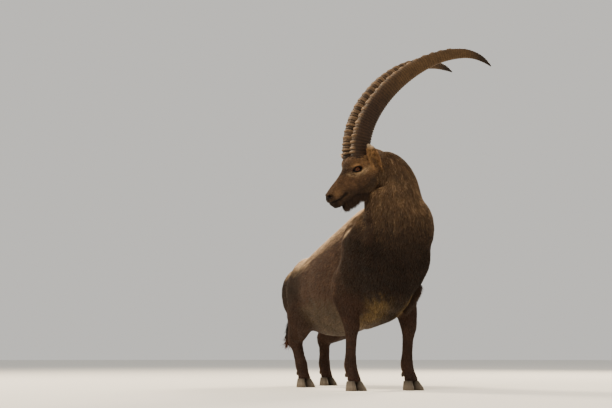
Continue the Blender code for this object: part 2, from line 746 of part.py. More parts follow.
def build():
    clear_scene()
    random.seed(11)
    parts = bpy.data.collections.new("alpine_ibex")
    cutters = bpy.data.collections.new("cutters")
    bpy.context.scene.collection.children.link(parts)
    bpy.context.scene.collection.children.link(cutters)

    torso_piece = trunk(cutters)
    neck_piece = neck(cutters)
    muscle_pieces = muscles(cutters)
    leg_pieces = [foreleg(side, cutters) for side in (-1, 1)] + [hindleg(side, cutters) for side in (-1, 1)]
    tail_piece = limb("tail_core", [(*row[:3], row[3], row[3] * 0.8) for row in TAIL], cutters, (1, 0, 0),
                      count=14, sides=12)
    skull_piece = skull(cutters)
    form_pieces = head_forms(cutters)

    body = fuse_flesh("torso", [torso_piece, neck_piece, *muscle_pieces, *leg_pieces, tail_piece],
                      BODY_VOXEL, BODY_FACES, parts, BODY_SOFTENING)
    front = fuse_flesh("head", [torso_piece, neck_piece, *muscle_pieces, skull_piece, *form_pieces],
                       HEAD_VOXEL, HEAD_FACES * 2, parts, HEAD_SOFTENING)

    # Neck base plane shared by both surfaces
    neck_base, neck_up = Vector((0, -0.310, 0.750)), Vector((0, -0.62, 0.78)).normalized()
    below = cut_box("below", neck_base - neck_up * GAP, neck_up, 1.4, 1.0, 1.0, cutters)
    above = cut_box("above", neck_base, -neck_up, 0.9, 0.6, 0.6, cutters)
    boolean(body, below, "INTERSECT")
    boolean(front, above, "INTERSECT")

    # Legs end flat on the hooves
    upper = cut_box("upper", Vector((0, 0, HOOF_TOP + GAP)), Vector((0, 0, -1)), 2.0, 1.0, 1.0, cutters)
    boolean(body, upper, "INTERSECT")

    # Head parted from the neck behind the jaw and the ears
    frame = head_frame()
    head_axis = (frame.to_3x3() @ Vector((-0.501, 0, -0.865))).normalized()
    head_cut = frame @ Vector((-0.020, 0, -0.020))
    neck_node = front
    neck_node.name = "neck"
    head = split_off(neck_node, "head", head_cut, head_axis, 0.45, 0.32, 0.32, parts, cutters)

    for side in (-1, 1):
        word = "left" if side > 0 else "right"
        joints = FORELEGS[side]
        elbow, knee = Vector(joints["elbow"]), Vector(joints["knee"])
        split_off(body, "foreleg_" + word, Vector((elbow.x + side * 0.010, elbow.y - 0.02, 0.430)),
                  Vector((0.0, 0.0, 1.0)), 0.60, 0.070, 0.105, parts, cutters)
        joints = HINDLEGS[side]
        stifle, hock = Vector(joints["stifle"]), Vector(joints["hock"])
        fetlock = Vector(joints["fetlock"])
        split_off(body, "hindfoot_" + word, between(hock, fetlock, 0.06), hock - fetlock, 0.40, 0.08, 0.09,
                  parts, cutters)
        split_off(body, "shank_" + word, between(stifle, hock, 0.34), stifle - hock, 0.30, 0.085, 0.085,
                  parts, cutters)
        split_off(body, "thigh_" + word, Vector((side * 0.072, 0.40, 0.46)), Vector((side * -1.0, 0, 0.22)),
                  0.25, 0.215, 0.215, parts, cutters)
    for word, joints in (
        ("fore_right", FORELEGS[-1]),
        ("fore_left", FORELEGS[1]),
        ("hind_right", HINDLEGS[-1]),
        ("hind_left", HINDLEGS[1]),
    ):
        hoof("hoof_" + word, joints, parts, cutters)
    tail = split_off(body, "tail", Vector((-0.010, 0.590, 0.470)), Vector((0.10, -0.50, 0.86)),
                     0.35, 0.05, 0.07, parts, cutters)

    # Eyes in their sockets, lids round them
    for side in (-1, 1):
        word = "left" if side > 0 else "right"
        ball = ellipsoid("eye_" + word, eye_place(side), (EYE_RADIUS,) * 3, parts, segments=14)
        ball.data.name = "eye_" + word
    carve_face(head, cutters)
    union_all(head, beard(cutters))
    union_all(tail, tail_tuft(cutters))
    for side in (-1, 1):
        socket = ellipsoid("socket", eye_place(side), (EYE_RADIUS + GAP,) * 3, cutters, segments=14)
        opening = lid_opening(side, cutters)
        for cutter in (opening, socket):
            boolean(head, cutter, "DIFFERENCE")
            bpy.data.objects.remove(cutter, do_unlink=True)

    horns = [horn(side, parts) for side in (-1, 1)]
    ears = [ear(side, parts) for side in (-1, 1)]
    for carrier in (head, neck_node):
        swollen = swollen_copy(carrier, cutters)
        for item in (*horns, *ears):
            boolean(item, swollen, "DIFFERENCE")
        bpy.data.objects.remove(swollen, do_unlink=True)
    for item in list(cutters.objects):
        bpy.data.objects.remove(item, do_unlink=True)
    finish(parts)


# Materials, and the origin at the middle of the model's own box on the floor
def finish(parts):
    points = [vert.co for item in parts.objects for vert in item.data.vertices]
    low = [min(point[axis] for point in points) for axis in range(3)]
    high = [max(point[axis] for point in points) for axis in range(3)]
    shift = Matrix.Translation((-(low[0] + high[0]) / 2, -(low[1] + high[1]) / 2, -low[2]))
    for item in parts.objects:
        item.data.transform(shift)
        item.data.materials.clear()
        kind = item.name.split("_")[0]
        item.data.materials.append(material(kind if kind in MATERIALS else "coat"))


build()
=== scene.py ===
# Alpine ibex: one skin, summer coat, ridged horns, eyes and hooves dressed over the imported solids
import math
import bmesh
import bpy
import numpy as np
from mathutils import Matrix, Vector
from mathutils.bvhtree import BVHTree


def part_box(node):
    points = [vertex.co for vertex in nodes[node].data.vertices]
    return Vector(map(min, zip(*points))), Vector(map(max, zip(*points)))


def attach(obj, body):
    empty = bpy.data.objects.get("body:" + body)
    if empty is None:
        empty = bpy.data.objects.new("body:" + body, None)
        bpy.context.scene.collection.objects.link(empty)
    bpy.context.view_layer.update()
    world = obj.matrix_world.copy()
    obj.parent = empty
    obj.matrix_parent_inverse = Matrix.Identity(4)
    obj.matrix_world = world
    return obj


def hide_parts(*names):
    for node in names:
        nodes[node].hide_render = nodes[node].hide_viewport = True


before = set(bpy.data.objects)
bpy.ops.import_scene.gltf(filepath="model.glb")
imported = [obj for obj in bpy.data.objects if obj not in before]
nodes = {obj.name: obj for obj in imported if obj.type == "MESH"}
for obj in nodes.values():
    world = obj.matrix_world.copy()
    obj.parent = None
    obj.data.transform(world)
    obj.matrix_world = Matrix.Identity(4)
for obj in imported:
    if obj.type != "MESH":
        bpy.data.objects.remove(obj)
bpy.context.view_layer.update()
rng = np.random.default_rng(7)
sides = {"right": -1, "left": 1}


# shared helpers
def toLinear(hexText):
    values = [int(hexText[i:i + 2], 16) / 255 for i in (1, 3, 5)]
    return np.array([v / 12.92 if v <= 0.04045 else ((v + 0.055) / 1.055) ** 2.4 for v in values])


def addNode(tree, kind, values=(), links=(), **settings):
    node = tree.nodes.new(kind)
    for name, value in settings.items():
        setattr(node, name, value)
    for name, value in dict(values).items():
        node.inputs[name].default_value = value
    for name, source in dict(links).items():
        tree.links.new(source, node.inputs[name])
    return node


def newMaterial(name, sockets):
    made = bpy.data.materials.new(name)
    made.use_nodes = True
    shader = made.node_tree.nodes["Principled BSDF"]
    for socket, value in sockets.items():
        shader.inputs[socket].default_value = value
    place = addNode(made.node_tree, "ShaderNodeTexCoord").outputs["Object"]
    return made, made.node_tree, shader, place


def addNoise(tree, place, size, detail, roughness):  # size of one fleck in millimetres
    values = {"Scale": 1000 / size, "Detail": detail, "Roughness": roughness}
    return addNode(tree, "ShaderNodeTexNoise", values, {"Vector": place}).outputs["Fac"]


def addRange(tree, source, fromSpan, toSpan=(0.0, 1.0)):
    values = {"From Min": fromSpan[0], "From Max": fromSpan[1], "To Min": toSpan[0], "To Max": toSpan[1]}
    return addNode(tree, "ShaderNodeMapRange", values, {"Value": source}).outputs["Result"]


def addScaled(tree, colour, factor):
    links = {"Vector": colour, "Scale": factor}
    return addNode(tree, "ShaderNodeVectorMath", links=links, operation="SCALE").outputs["Vector"]


def addLength(tree, vector):
    return addNode(tree, "ShaderNodeVectorMath", links={"Vector": vector}, operation="LENGTH").outputs["Value"]


def addMix(tree, factor, first, second):  # each end is a colour text or a socket
    links = {"Factor": factor}
    links.update({key: end for key, end in ((6, first), (7, second)) if not isinstance(end, str)})
    blend = addNode(tree, "ShaderNodeMix", links=links, data_type="RGBA")
    for key, end in ((6, first), (7, second)):
        if isinstance(end, str):
            blend.inputs[key].default_value = (*toLinear(end), 1)
    return blend.outputs[2]


def addRelief(tree, shader, height, strength, distance):
    relief = addNode(tree, "ShaderNodeBump", {"Strength": strength, "Distance": distance}, {"Height": height})
    tree.links.new(relief.outputs["Normal"], shader.inputs["Normal"])


def mottledMaterial(name, sockets, flecks, fromSpan, toSpan, grain=None, relief=None):
    made, tree, shader, place = newMaterial(name, sockets)
    colour = addNode(tree, "ShaderNodeAttribute", attribute_name="ownColour").outputs["Color"]
    shade = addRange(tree, addNoise(tree, place, *flecks), fromSpan, toSpan)
    tree.links.new(addScaled(tree, colour, shade), shader.inputs["Base Color"])
    if grain:
        addRelief(tree, shader, addNoise(tree, place, *grain), *relief)
    return made


def unit(vectors):
    return vectors / (np.linalg.norm(vectors, axis=-1, keepdims=True) + 1e-12)


def smoothStep(low, high, values):
    t = np.clip((values - low) / (high - low), 0, 1)
    return t * t * (3 - 2 * t)


def spot(*terms):  # 1 at the middle, fading with distance; each term is values, middle, width
    return np.exp(-sum(((values - middle) / width) ** 2 for values, middle, width in terms))


def newMesh(name, points, triangles, colours=None, uv=None):
    mesh = bpy.data.meshes.new(name)
    points = np.ascontiguousarray(points, dtype=np.float32)
    triangles = np.ascontiguousarray(triangles, dtype=np.int32)
    mesh.vertices.add(len(points))
    mesh.vertices.foreach_set("co", points.ravel())
    mesh.loops.add(triangles.size)
    mesh.loops.foreach_set("vertex_index", triangles.ravel())
    mesh.polygons.add(len(triangles))
    mesh.polygons.foreach_set("loop_start", np.arange(0, triangles.size, 3, dtype=np.int32))
    mesh.polygons.foreach_set("use_smooth", np.full(len(triangles), True))
    if colours is not None:
        layer = mesh.attributes.new("ownColour", "FLOAT_COLOR", "POINT")
        rgba = np.ones((len(points), 4), dtype=np.float32)
        rgba[:, :3] = colours
        layer.data.foreach_set("color", rgba.ravel())
    if uv is not None:
        layer = mesh.uv_layers.new(name="OFBake")
        layer.data.foreach_set("uv", np.ascontiguousarray(uv[triangles.ravel()], dtype=np.float32).ravel())
    mesh.update(calc_edges=True)
    mesh.validate()
    return mesh


def addPiece(name, mesh, material, slot, *replaced):
    item = bpy.data.objects.new(name, mesh)
    bpy.context.scene.collection.objects.link(item)
    mesh.materials.clear()
    mesh.materials.append(material)
    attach(item, "root")
    if replaced:
        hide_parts(*replaced)
    return item


def gridTriangles(rows, columns):  # rows of points joined round into a tube
    row, column = np.meshgrid(np.arange(rows - 1), np.arange(columns), indexing="ij")
    after = (column + 1) % columns
    a, b = row * columns + column, row * columns + after
    c, d = (row + 1) * columns + after, (row + 1) * columns + column
    return np.concatenate([np.stack([a, b, c], -1).reshape(-1, 3), np.stack([a, c, d], -1).reshape(-1, 3)])


def closedGrid(rows, columns):  # a tube, and fans to two end points that follow its own points
    index = np.arange(columns)
    following, final, first = np.roll(index, -1), (rows - 1) * columns, rows * columns
    return np.concatenate([gridTriangles(rows, columns),
                           np.column_stack([following, index, np.full(columns, first)]),
                           np.column_stack([final + index, final + following, np.full(columns, first + 1)])])


def solidMesh(names, grow=0.0):
    bm = bmesh.new()
    for name in names:
        part = nodes[name].data.copy()
        part.transform(nodes[name].matrix_world)
        bm.from_mesh(part)
        bpy.data.meshes.remove(part)
    bmesh.ops.remove_doubles(bm, verts=bm.verts, dist=0.00002)
    bm.normal_update()
    if grow:
        moved = [vert.co + vert.normal * grow for vert in bm.verts]
        for vert, place in zip(bm.verts, moved):
            vert.co = place
    mesh = bpy.data.meshes.new("solid")
    bm.to_mesh(mesh)
    bm.free()
    return mesh


def bakedModifier(mesh, kind, **settings):
    item = bpy.data.objects.new("work", mesh)
    bpy.context.scene.collection.objects.link(item)
    step = item.modifiers.new("step", kind)
    for name, value in settings.items():
        setattr(step, name, value)
    bpy.context.view_layer.update()
    made = bpy.data.meshes.new_from_object(item.evaluated_get(bpy.context.evaluated_depsgraph_get()))
    bpy.data.objects.remove(item, do_unlink=True)
    return made


def readAll(items, name, width, kind=float):
    values = np.empty(len(items) * width, dtype=kind)
    items.foreach_get(name, values)
    return values.reshape(-1, width)


def meshPoints(mesh):
    return readAll(mesh.vertices, "co", 3)


def meshNormals(mesh):
    return readAll(mesh.vertex_normals, "vector", 3)


def meshEdges(mesh):
    return readAll(mesh.edges, "vertices", 2, np.int32)


def meshTriangles(mesh):
    mesh.calc_loop_triangles()
    return readAll(mesh.loop_triangles, "vertices", 3, np.int32)


def movePoints(mesh, points):
    mesh.vertices.foreach_set("co", points.astype(np.float32).ravel())
    mesh.update()


def relax(values, edges, count):
    degree = np.bincount(edges.ravel(), minlength=len(values))[:, None]
    for _ in range(count):
        total = np.stack([np.bincount(edges[:, 0], values[edges[:, 1], k], len(values))
                          + np.bincount(edges[:, 1], values[edges[:, 0], k], len(values))
                          for k in range(values.shape[1])], -1)
        values = values + 0.5 * (total / np.maximum(degree, 1) - values)
    return values


def soften(spots, links, amount, steps):  # relaxes only where amount, one share for each point, is above 0
    for _ in range(steps):
        spots = spots + amount[:, None] * (relax(spots, links, 1) - spots)
    return spots


# where the animal stands in the frame
pose = {
    "eyePlace": (0.088, 0.0365, 0.022),  # forward, outward, up from the back of the skull
    "skullBack": (-0.130, -0.400, 1.000),
    "headTurn": 184.0,
    "noseDrop": 35.0,
}
headTurn = (Matrix.Rotation(math.radians(pose["headTurn"]), 4, "Z")
            @ Matrix.Rotation(math.radians(pose["noseDrop"]), 4, "Y"))
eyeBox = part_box("eye_left")
eyeMiddle = (Vector(eyeBox[0]) + Vector(eyeBox[1])) / 2
skullBack = eyeMiddle - headTurn @ Vector(pose["eyePlace"])
shift = np.array(skullBack) - np.array(pose["skullBack"])
headAxes = np.array(headTurn.to_3x3())
forwardAxis, leftAxis, upAxis = headAxes[:, 0], headAxes[:, 1], headAxes[:, 2]


def toHead(points):
    return (points - np.array(skullBack)) @ headAxes


# skin: the nodes of flesh fused into one surface
skinLook = {
    "voxel": 0.0033,
    "softening": {"head": 3, "ear": 1, "body": 26},
    "templeSteps": 45,
    "jawRise": -0.088,  # height of the jaw's lower edge in the head's own frame
    "faces": 170000,
    "coatDepth": {"head": 0.0020, "ear": 0.0008, "neck": 0.0055, "torso": 0.0045, "thigh": 0.0040, "leg": 0.0010,
                  "tail": 0.0045},
}
regions = ["head", "ear", "neck", "torso", "thigh", "leg", "tail"]
fleshNodes = {name: next((region for region in regions if name.startswith(region)), "leg")
              for name in nodes if name.split("_")[0] not in ("horn", "hoof", "eye")}
print("skin: fusing", len(fleshNodes), "nodes")
fused = bakedModifier(solidMesh(fleshNodes, grow=0.0006), "REMESH", mode="VOXEL", voxel_size=skinLook["voxel"])
points, edges = meshPoints(fused), meshEdges(fused)

corners, owners = [], []
for name, region in fleshNodes.items():
    part = solidMesh([name])
    corners.append(meshPoints(part)[meshTriangles(part)])
    owners += [regions.index(region)] * len(corners[-1])
corners = np.concatenate(corners)
solidTree = BVHTree.FromPolygons([Vector(c) for c in corners.reshape(-1, 3)],
                                 [tuple(t) for t in np.arange(len(corners) * 3).reshape(-1, 3)])


def regionWeights(spots, links, spread):
    nearest = [solidTree.find_nearest(Vector(spot))[2] for spot in spots]
    weights = np.eye(len(regions))[np.array(owners)[nearest]]
    return relax(weights, links, spread)


weights = regionWeights(points, edges, 12)
softness = weights[:, 0] * skinLook["softening"]["head"] + weights[:, 1] * skinLook["softening"]["ear"]
softness += weights[:, 2:].sum(1) * skinLook["softening"]["body"]
slim = weights[:, regions.index("leg")] + weights[:, regions.index("tail")]
softness = softness * (1 - 0.72 * np.clip(slim, 0, 1))
for step in range(int(softness.max())):
    points = soften(points, edges, np.clip(softness - step, 0, 1), 1)

# temples and horn bosses run softly into the brow
inHead = toHead(points)
temple = (smoothStep(-0.07, -0.03, inHead[:, 0]) * smoothStep(0.115, 0.090, inHead[:, 0]) * (weights[:, 0] > 0.5)
          * smoothStep(0.024, 0.040, inHead[:, 2]))
points = soften(points, edges, temple, skinLook["templeSteps"])

# beard locks of the solids are drawn back to the jaw, their place is taken by hair
inHead = toHead(points)
underJaw = ((inHead[:, 0] > 0.105) & (inHead[:, 0] < 0.235) & (np.abs(inHead[:, 1]) < 0.035)
            & (inHead[:, 2] < skinLook["jawRise"]) & (inHead[:, 2] > -0.150) & (weights[:, 0] > 0.6))
inHead[underJaw, 2] = skinLook["jawRise"] + (inHead[underJaw, 2] - skinLook["jawRise"]) * 0.12
points[underJaw] = inHead[underJaw] @ headAxes.T + np.array(skullBack)
movePoints(fused, points)
depth = weights @ np.array([skinLook["coatDepth"][region] for region in regions])

# folds and muscle edges: line of places on the right side, width, depth (raised where negative)
bodyForms = {
    "neckGroove": (((-0.140, -0.375, 0.790), (-0.169, -0.397, 0.684), (-0.180, -0.393, 0.617),
                    (-0.173, -0.375, 0.530), (-0.150, -0.340, 0.450)), 0.026, 0.006),
    "shoulderEdge": (((-0.150, -0.330, 0.740), (-0.199, -0.333, 0.633), (-0.200, -0.270, 0.561),
                      (-0.197, -0.290, 0.491)), 0.020, -0.006),
    "behindShoulder": (((-0.175, -0.215, 0.700), (-0.200, -0.205, 0.600), (-0.205, -0.195, 0.500),
                        (-0.180, -0.180, 0.420)), 0.030, 0.005),
    "chestFold": (((-0.120, -0.440, 0.560), (-0.100, -0.450, 0.500), (-0.050, -0.460, 0.440)), 0.011, 0.006),
    "chestFoldLow": (((-0.125, -0.420, 0.500), (-0.095, -0.440, 0.450), (-0.055, -0.440, 0.400)), 0.010, 0.005),
    "chestMiddle": (((0.000, -0.500, 0.640), (0.000, -0.480, 0.520), (0.000, -0.440, 0.400)), 0.024, 0.008),
    "breast": (((-0.070, -0.470, 0.600), (-0.060, -0.465, 0.540)), 0.045, -0.008),
    "thighFront": (((-0.190, 0.110, 0.600), (-0.203, 0.090, 0.517), (-0.186, 0.095, 0.409), (-0.150, 0.165, 0.328)),
                   0.034, 0.005),
    "thighMiddle": (((-0.175, 0.300, 0.620), (-0.180, 0.330, 0.500), (-0.165, 0.350, 0.400)), 0.050, -0.006),
    "hipHollow": (((-0.140, 0.120, 0.690), (-0.175, 0.160, 0.640)), 0.040, 0.004),
}
sideForms = {  # forms of the turned body, each on its own side
    "neckBase": (((-0.118, -0.272, 0.838), (-0.150, -0.258, 0.805), (-0.174, -0.262, 0.768)), 0.062, 0.044),
    "throat": (((-0.154, -0.423, 0.872), (-0.136, -0.402, 0.845), (-0.134, -0.404, 0.812), (-0.133, -0.402, 0.781)),
               0.046, -0.015),
    "rumpTop": (((-0.150, 0.440, 0.620), (-0.120, 0.400, 0.650)), 0.075, 0.026),
    "brisket": (((-0.026, -0.165, 0.296), (-0.023, -0.260, 0.310), (-0.010, -0.320, 0.325)), 0.060, -0.018),
    "legRoot": (((0.165, -0.318, 0.385), (0.158, -0.313, 0.340)), 0.045, -0.010),
    "elbow": (((0.188, -0.310, 0.450), (0.182, -0.310, 0.418)), 0.042, 0.013),
    "chestEdge": (((0.112, -0.430, 0.446), (0.096, -0.425, 0.412)), 0.035, 0.013),
}
softPlaces = (  # where, reach, steps
    ((-0.138, -0.400, 0.830), 0.060, 45), ((0.180, -0.315, 0.425), 0.070, 110),
    ((0.110, -0.415, 0.430), 0.075, 160), ((-0.150, -0.262, 0.800), 0.080, 50),
)


def lineGap(spots, line):
    best = np.full(len(spots), 1e9)
    for start, end in zip(line, line[1:]):
        start, end = np.array(start), np.array(end)
        t = np.clip(((spots - start) @ (end - start)) / ((end - start) @ (end - start)), 0, 1)
        best = np.minimum(best, np.linalg.norm(spots - (start + t[:, None] * (end - start)), axis=1))
    return best


mirrored = (points - shift) * (np.where(points[:, :1] > shift[0], -1, 1) ** np.array((1, 0, 0)))
trunkShare = weights[:, 2] + weights[:, 3] + weights[:, 4] + 0.5 * weights[:, 5]
for forms, spots in ((bodyForms, mirrored), (sideForms, points - shift)):
    for line, width, sunk in forms.values():
        depth = depth + trunkShare * sunk * spot((lineGap(spots, line), 0, width))
points = points - meshNormals(fused) * depth[:, None]
for place, reach, steps in softPlaces:
    near = np.exp(-(np.linalg.norm(points - shift - np.array(place), axis=1) / reach) ** 4)
    points = soften(points, edges, near, steps)
movePoints(fused, points)
fused = bakedModifier(fused, "DECIMATE", ratio=skinLook["faces"] / (2.0 * len(fused.polygons)))
print("skin:", len(fused.polygons), "faces")

# folds of the face: mouth, nostrils and the hollow under the lids
faceLook = {
    "mouth": ((0.277, -0.036), (0.258, -0.041), (0.226, -0.0450), (0.190, -0.0410)),  # forward, up
    "mouthDepth": 0.0042,
    "mouthWidth": 0.0030,
    "nostril": (0.262, 0.0165, -0.010),
    "nostrilDepth": 0.0090,
    "lidLength": 0.0185,
    "lidHeight": 0.0090,
    "lidReach": 0.0115,
    "eyeTilt": 12.0,
}
points, edges, normals = meshPoints(fused), meshEdges(fused), meshNormals(fused)
inHead = toHead(points)
atHead = np.linalg.norm(inHead - np.array((0.10, 0.0, -0.02)), axis=1) < 0.24
mouthGap = lineGap(inHead[:, [0, 2]], faceLook["mouth"])
mouthMask = np.where(atHead & (np.abs(inHead[:, 1]) < 0.05), spot((mouthGap, 0, faceLook["mouthWidth"])), 0)
nostrilMask = np.zeros(len(points))
for side in (-1, 1):
    away = inHead - np.array(faceLook["nostril"]) * (1, side, 1)
    slant = 0.65 * away[:, 0] + 0.75 * away[:, 2]  # the slit runs back and up
    cross = 0.75 * away[:, 0] - 0.65 * away[:, 2]
    nostrilMask = np.maximum(nostrilMask, spot((slant, 0, 0.0085), (cross, 0, 0.0042), (away[:, 1], 0, 0.011)))
push = mouthMask * faceLook["mouthDepth"] + nostrilMask * faceLook["nostrilDepth"]
points = points - normals * push[:, None]

eyes = {}
for word, side in sides.items():
    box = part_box("eye_" + word)
    middle = (Vector(box[0]) + Vector(box[1])) / 2
    radius = (box[1][2] - box[0][2]) / 2
    outward = Vector(headAxes @ (0.16, side * 1.0, 0.10)).normalized()
    tilt = math.radians(faceLook["eyeTilt"])
    forward = Vector(headAxes @ (math.cos(tilt), 0.0, math.sin(tilt)))
    forward = (forward - outward * forward.dot(outward)).normalized()
    upward = outward.cross(forward) * (1 if outward.cross(forward).z > 0 else -1)
    eyes[word] = {"middle": np.array(middle), "radius": radius,
                  "axes": np.array((forward, upward, outward)).T, "side": side}


def lidEdge(turn):
    high = faceLook["lidHeight"] * np.sign(np.sin(turn)) * np.abs(np.sin(turn)) ** 1.3
    high = np.where(high < 0, high * 0.82, high)
    return np.stack([faceLook["lidLength"] * np.cos(turn), high], -1)


lidCover = np.zeros(len(points))
skinTree = BVHTree.FromPolygons([Vector(p) for p in points], [tuple(f.vertices) for f in fused.polygons])
lidPoints, lidTriangles, lidTones = [], [], []
lidRows, lidColumns, count = 16, 72, 0
for word, eye in eyes.items():
    local = (points - eye["middle"]) @ eye["axes"]
    turn = np.arctan2(local[:, 1] / faceLook["lidHeight"], local[:, 0] / faceLook["lidLength"])
    edge = lidEdge(turn)
    beyond = np.linalg.norm(local[:, :2], axis=1) - np.linalg.norm(edge, axis=1)
    cover = (local[:, 2] > -0.004) * (1 - smoothStep(0.0055, faceLook["lidReach"], beyond))
    lidCover = np.maximum(lidCover, cover)
    points = points - eye["axes"][:, 2] * (cover * np.clip(local[:, 2] - 0.001, 0, 0.012) * 0.75)[:, None]
    turns = np.linspace(0, 2 * math.pi, lidColumns, endpoint=False)
    rim = lidEdge(turns)
    away = unit(rim / np.array((faceLook["lidLength"], faceLook["lidHeight"])) ** 1.1)
    rows = []
    for row in range(lidRows):
        t = row / (lidRows - 1)
        reach = (faceLook["lidReach"] + 0.002) * max(t - 0.12, 0) / 0.88
        flat = rim + away * reach
        onBall = np.sqrt(np.clip((eye["radius"] + 0.0004) ** 2 - (rim ** 2).sum(1), 1e-6, None))
        heights = []
        for (x, y), low in zip(flat, onBall):
            start = Vector(eye["middle"] + eye["axes"] @ np.array((x, y, 0.05)))
            hit = skinTree.ray_cast(start, Vector(-eye["axes"][:, 2]), 0.08)[0]
            top = (np.array(hit) - eye["middle"]) @ eye["axes"][:, 2] if hit is not None else low
            margin = low + 0.0030 * smoothStep(0.0, 0.10, np.array(t))  # thickness of the lid at its edge
            fold = -0.0012 * math.exp(-((t - 0.52) / 0.09) ** 2) + 0.0008 * math.exp(-((t - 0.30) / 0.12) ** 2)
            blend = float(smoothStep(0.10, 0.92, np.array(t)))
            heights.append((1 - blend) * float(margin) + blend * (top + 0.0002) + fold - 0.0016 * (t > 0.97))
        rows.append(eye["middle"] + np.column_stack([flat, heights]) @ eye["axes"].T)
        lidTones.append(np.full(lidColumns, t))
    lidPoints.append(np.concatenate(rows))
    flip = gridTriangles(lidRows, lidColumns)
    lidTriangles.append((flip if eye["side"] > 0 else flip[:, ::-1]) + count)
    count += lidRows * lidColumns
lidPoints, lidTriangles, lidTones = np.concatenate(lidPoints), np.concatenate(lidTriangles), np.concatenate(lidTones)
movePoints(fused, points)
points, normals = meshPoints(fused), meshNormals(fused)
weights = regionWeights(points, edges, 10)
wider = relax(weights, edges, 60)
weights = wider + (weights - wider) * np.clip(wider[:, 1:2] * 5, 0, 1)  # soft seams, but not at the ears
print("skin: face folded, lids made")

# markings, shared by skin and coat
coatColours = {
    "paleBackAndRimLight": "#e2c39c", "back": "#503b2b", "flank": "#3c2a1e", "belly": "#463a2d", "chest": "#1f140c",
    "armpit": "#63502f", "neck": "#4a3929", "nape": "#705840", "napeDark": "#352519", "fleck": "#a58c6c",
    "thigh": "#271c15", "rump": "#2d2017", "rumpEdge": "#775b40", "legs": "#34231a", "fetlock": "#6f573d",
    "cheek": "#5c432d", "forehead": "#362518", "browPatch": "#8c6a46", "wrinkle": "#a08665", "muzzle": "#573f2a",
    "lip": "#140c08", "eyeRing": "#0f0907", "beard": "#2a1c12", "earBack": "#76553a", "earInside": "#8f6c46",
    "earRim": "#e6d0b2", "tail": "#1c120c", "tailTip": "#46291a",
}
coat = {name: toLinear(text) for name, text in coatColours.items()}


def mix(colours, other, amount):
    return colours + (other - colours) * np.clip(amount, 0, 1)[..., None]


def wander(spots, size, seed, waves=14):  # smooth random unevenness, its bumps about size apart
    turn = np.random.default_rng(seed)
    total = np.zeros(len(spots))
    for _ in range(waves):
        wave = unit(turn.normal(size=3)) * 2 * math.pi / size * turn.uniform(0.6, 1.6)
        total += np.sin(spots @ wave + turn.uniform(0, 6.28))
    return total / waves ** 0.5


def paint(base, *layers):  # coat colours laid over each other, each with its share
    for name, amount in layers:
        base = mix(base, coat[name], amount)
    return base


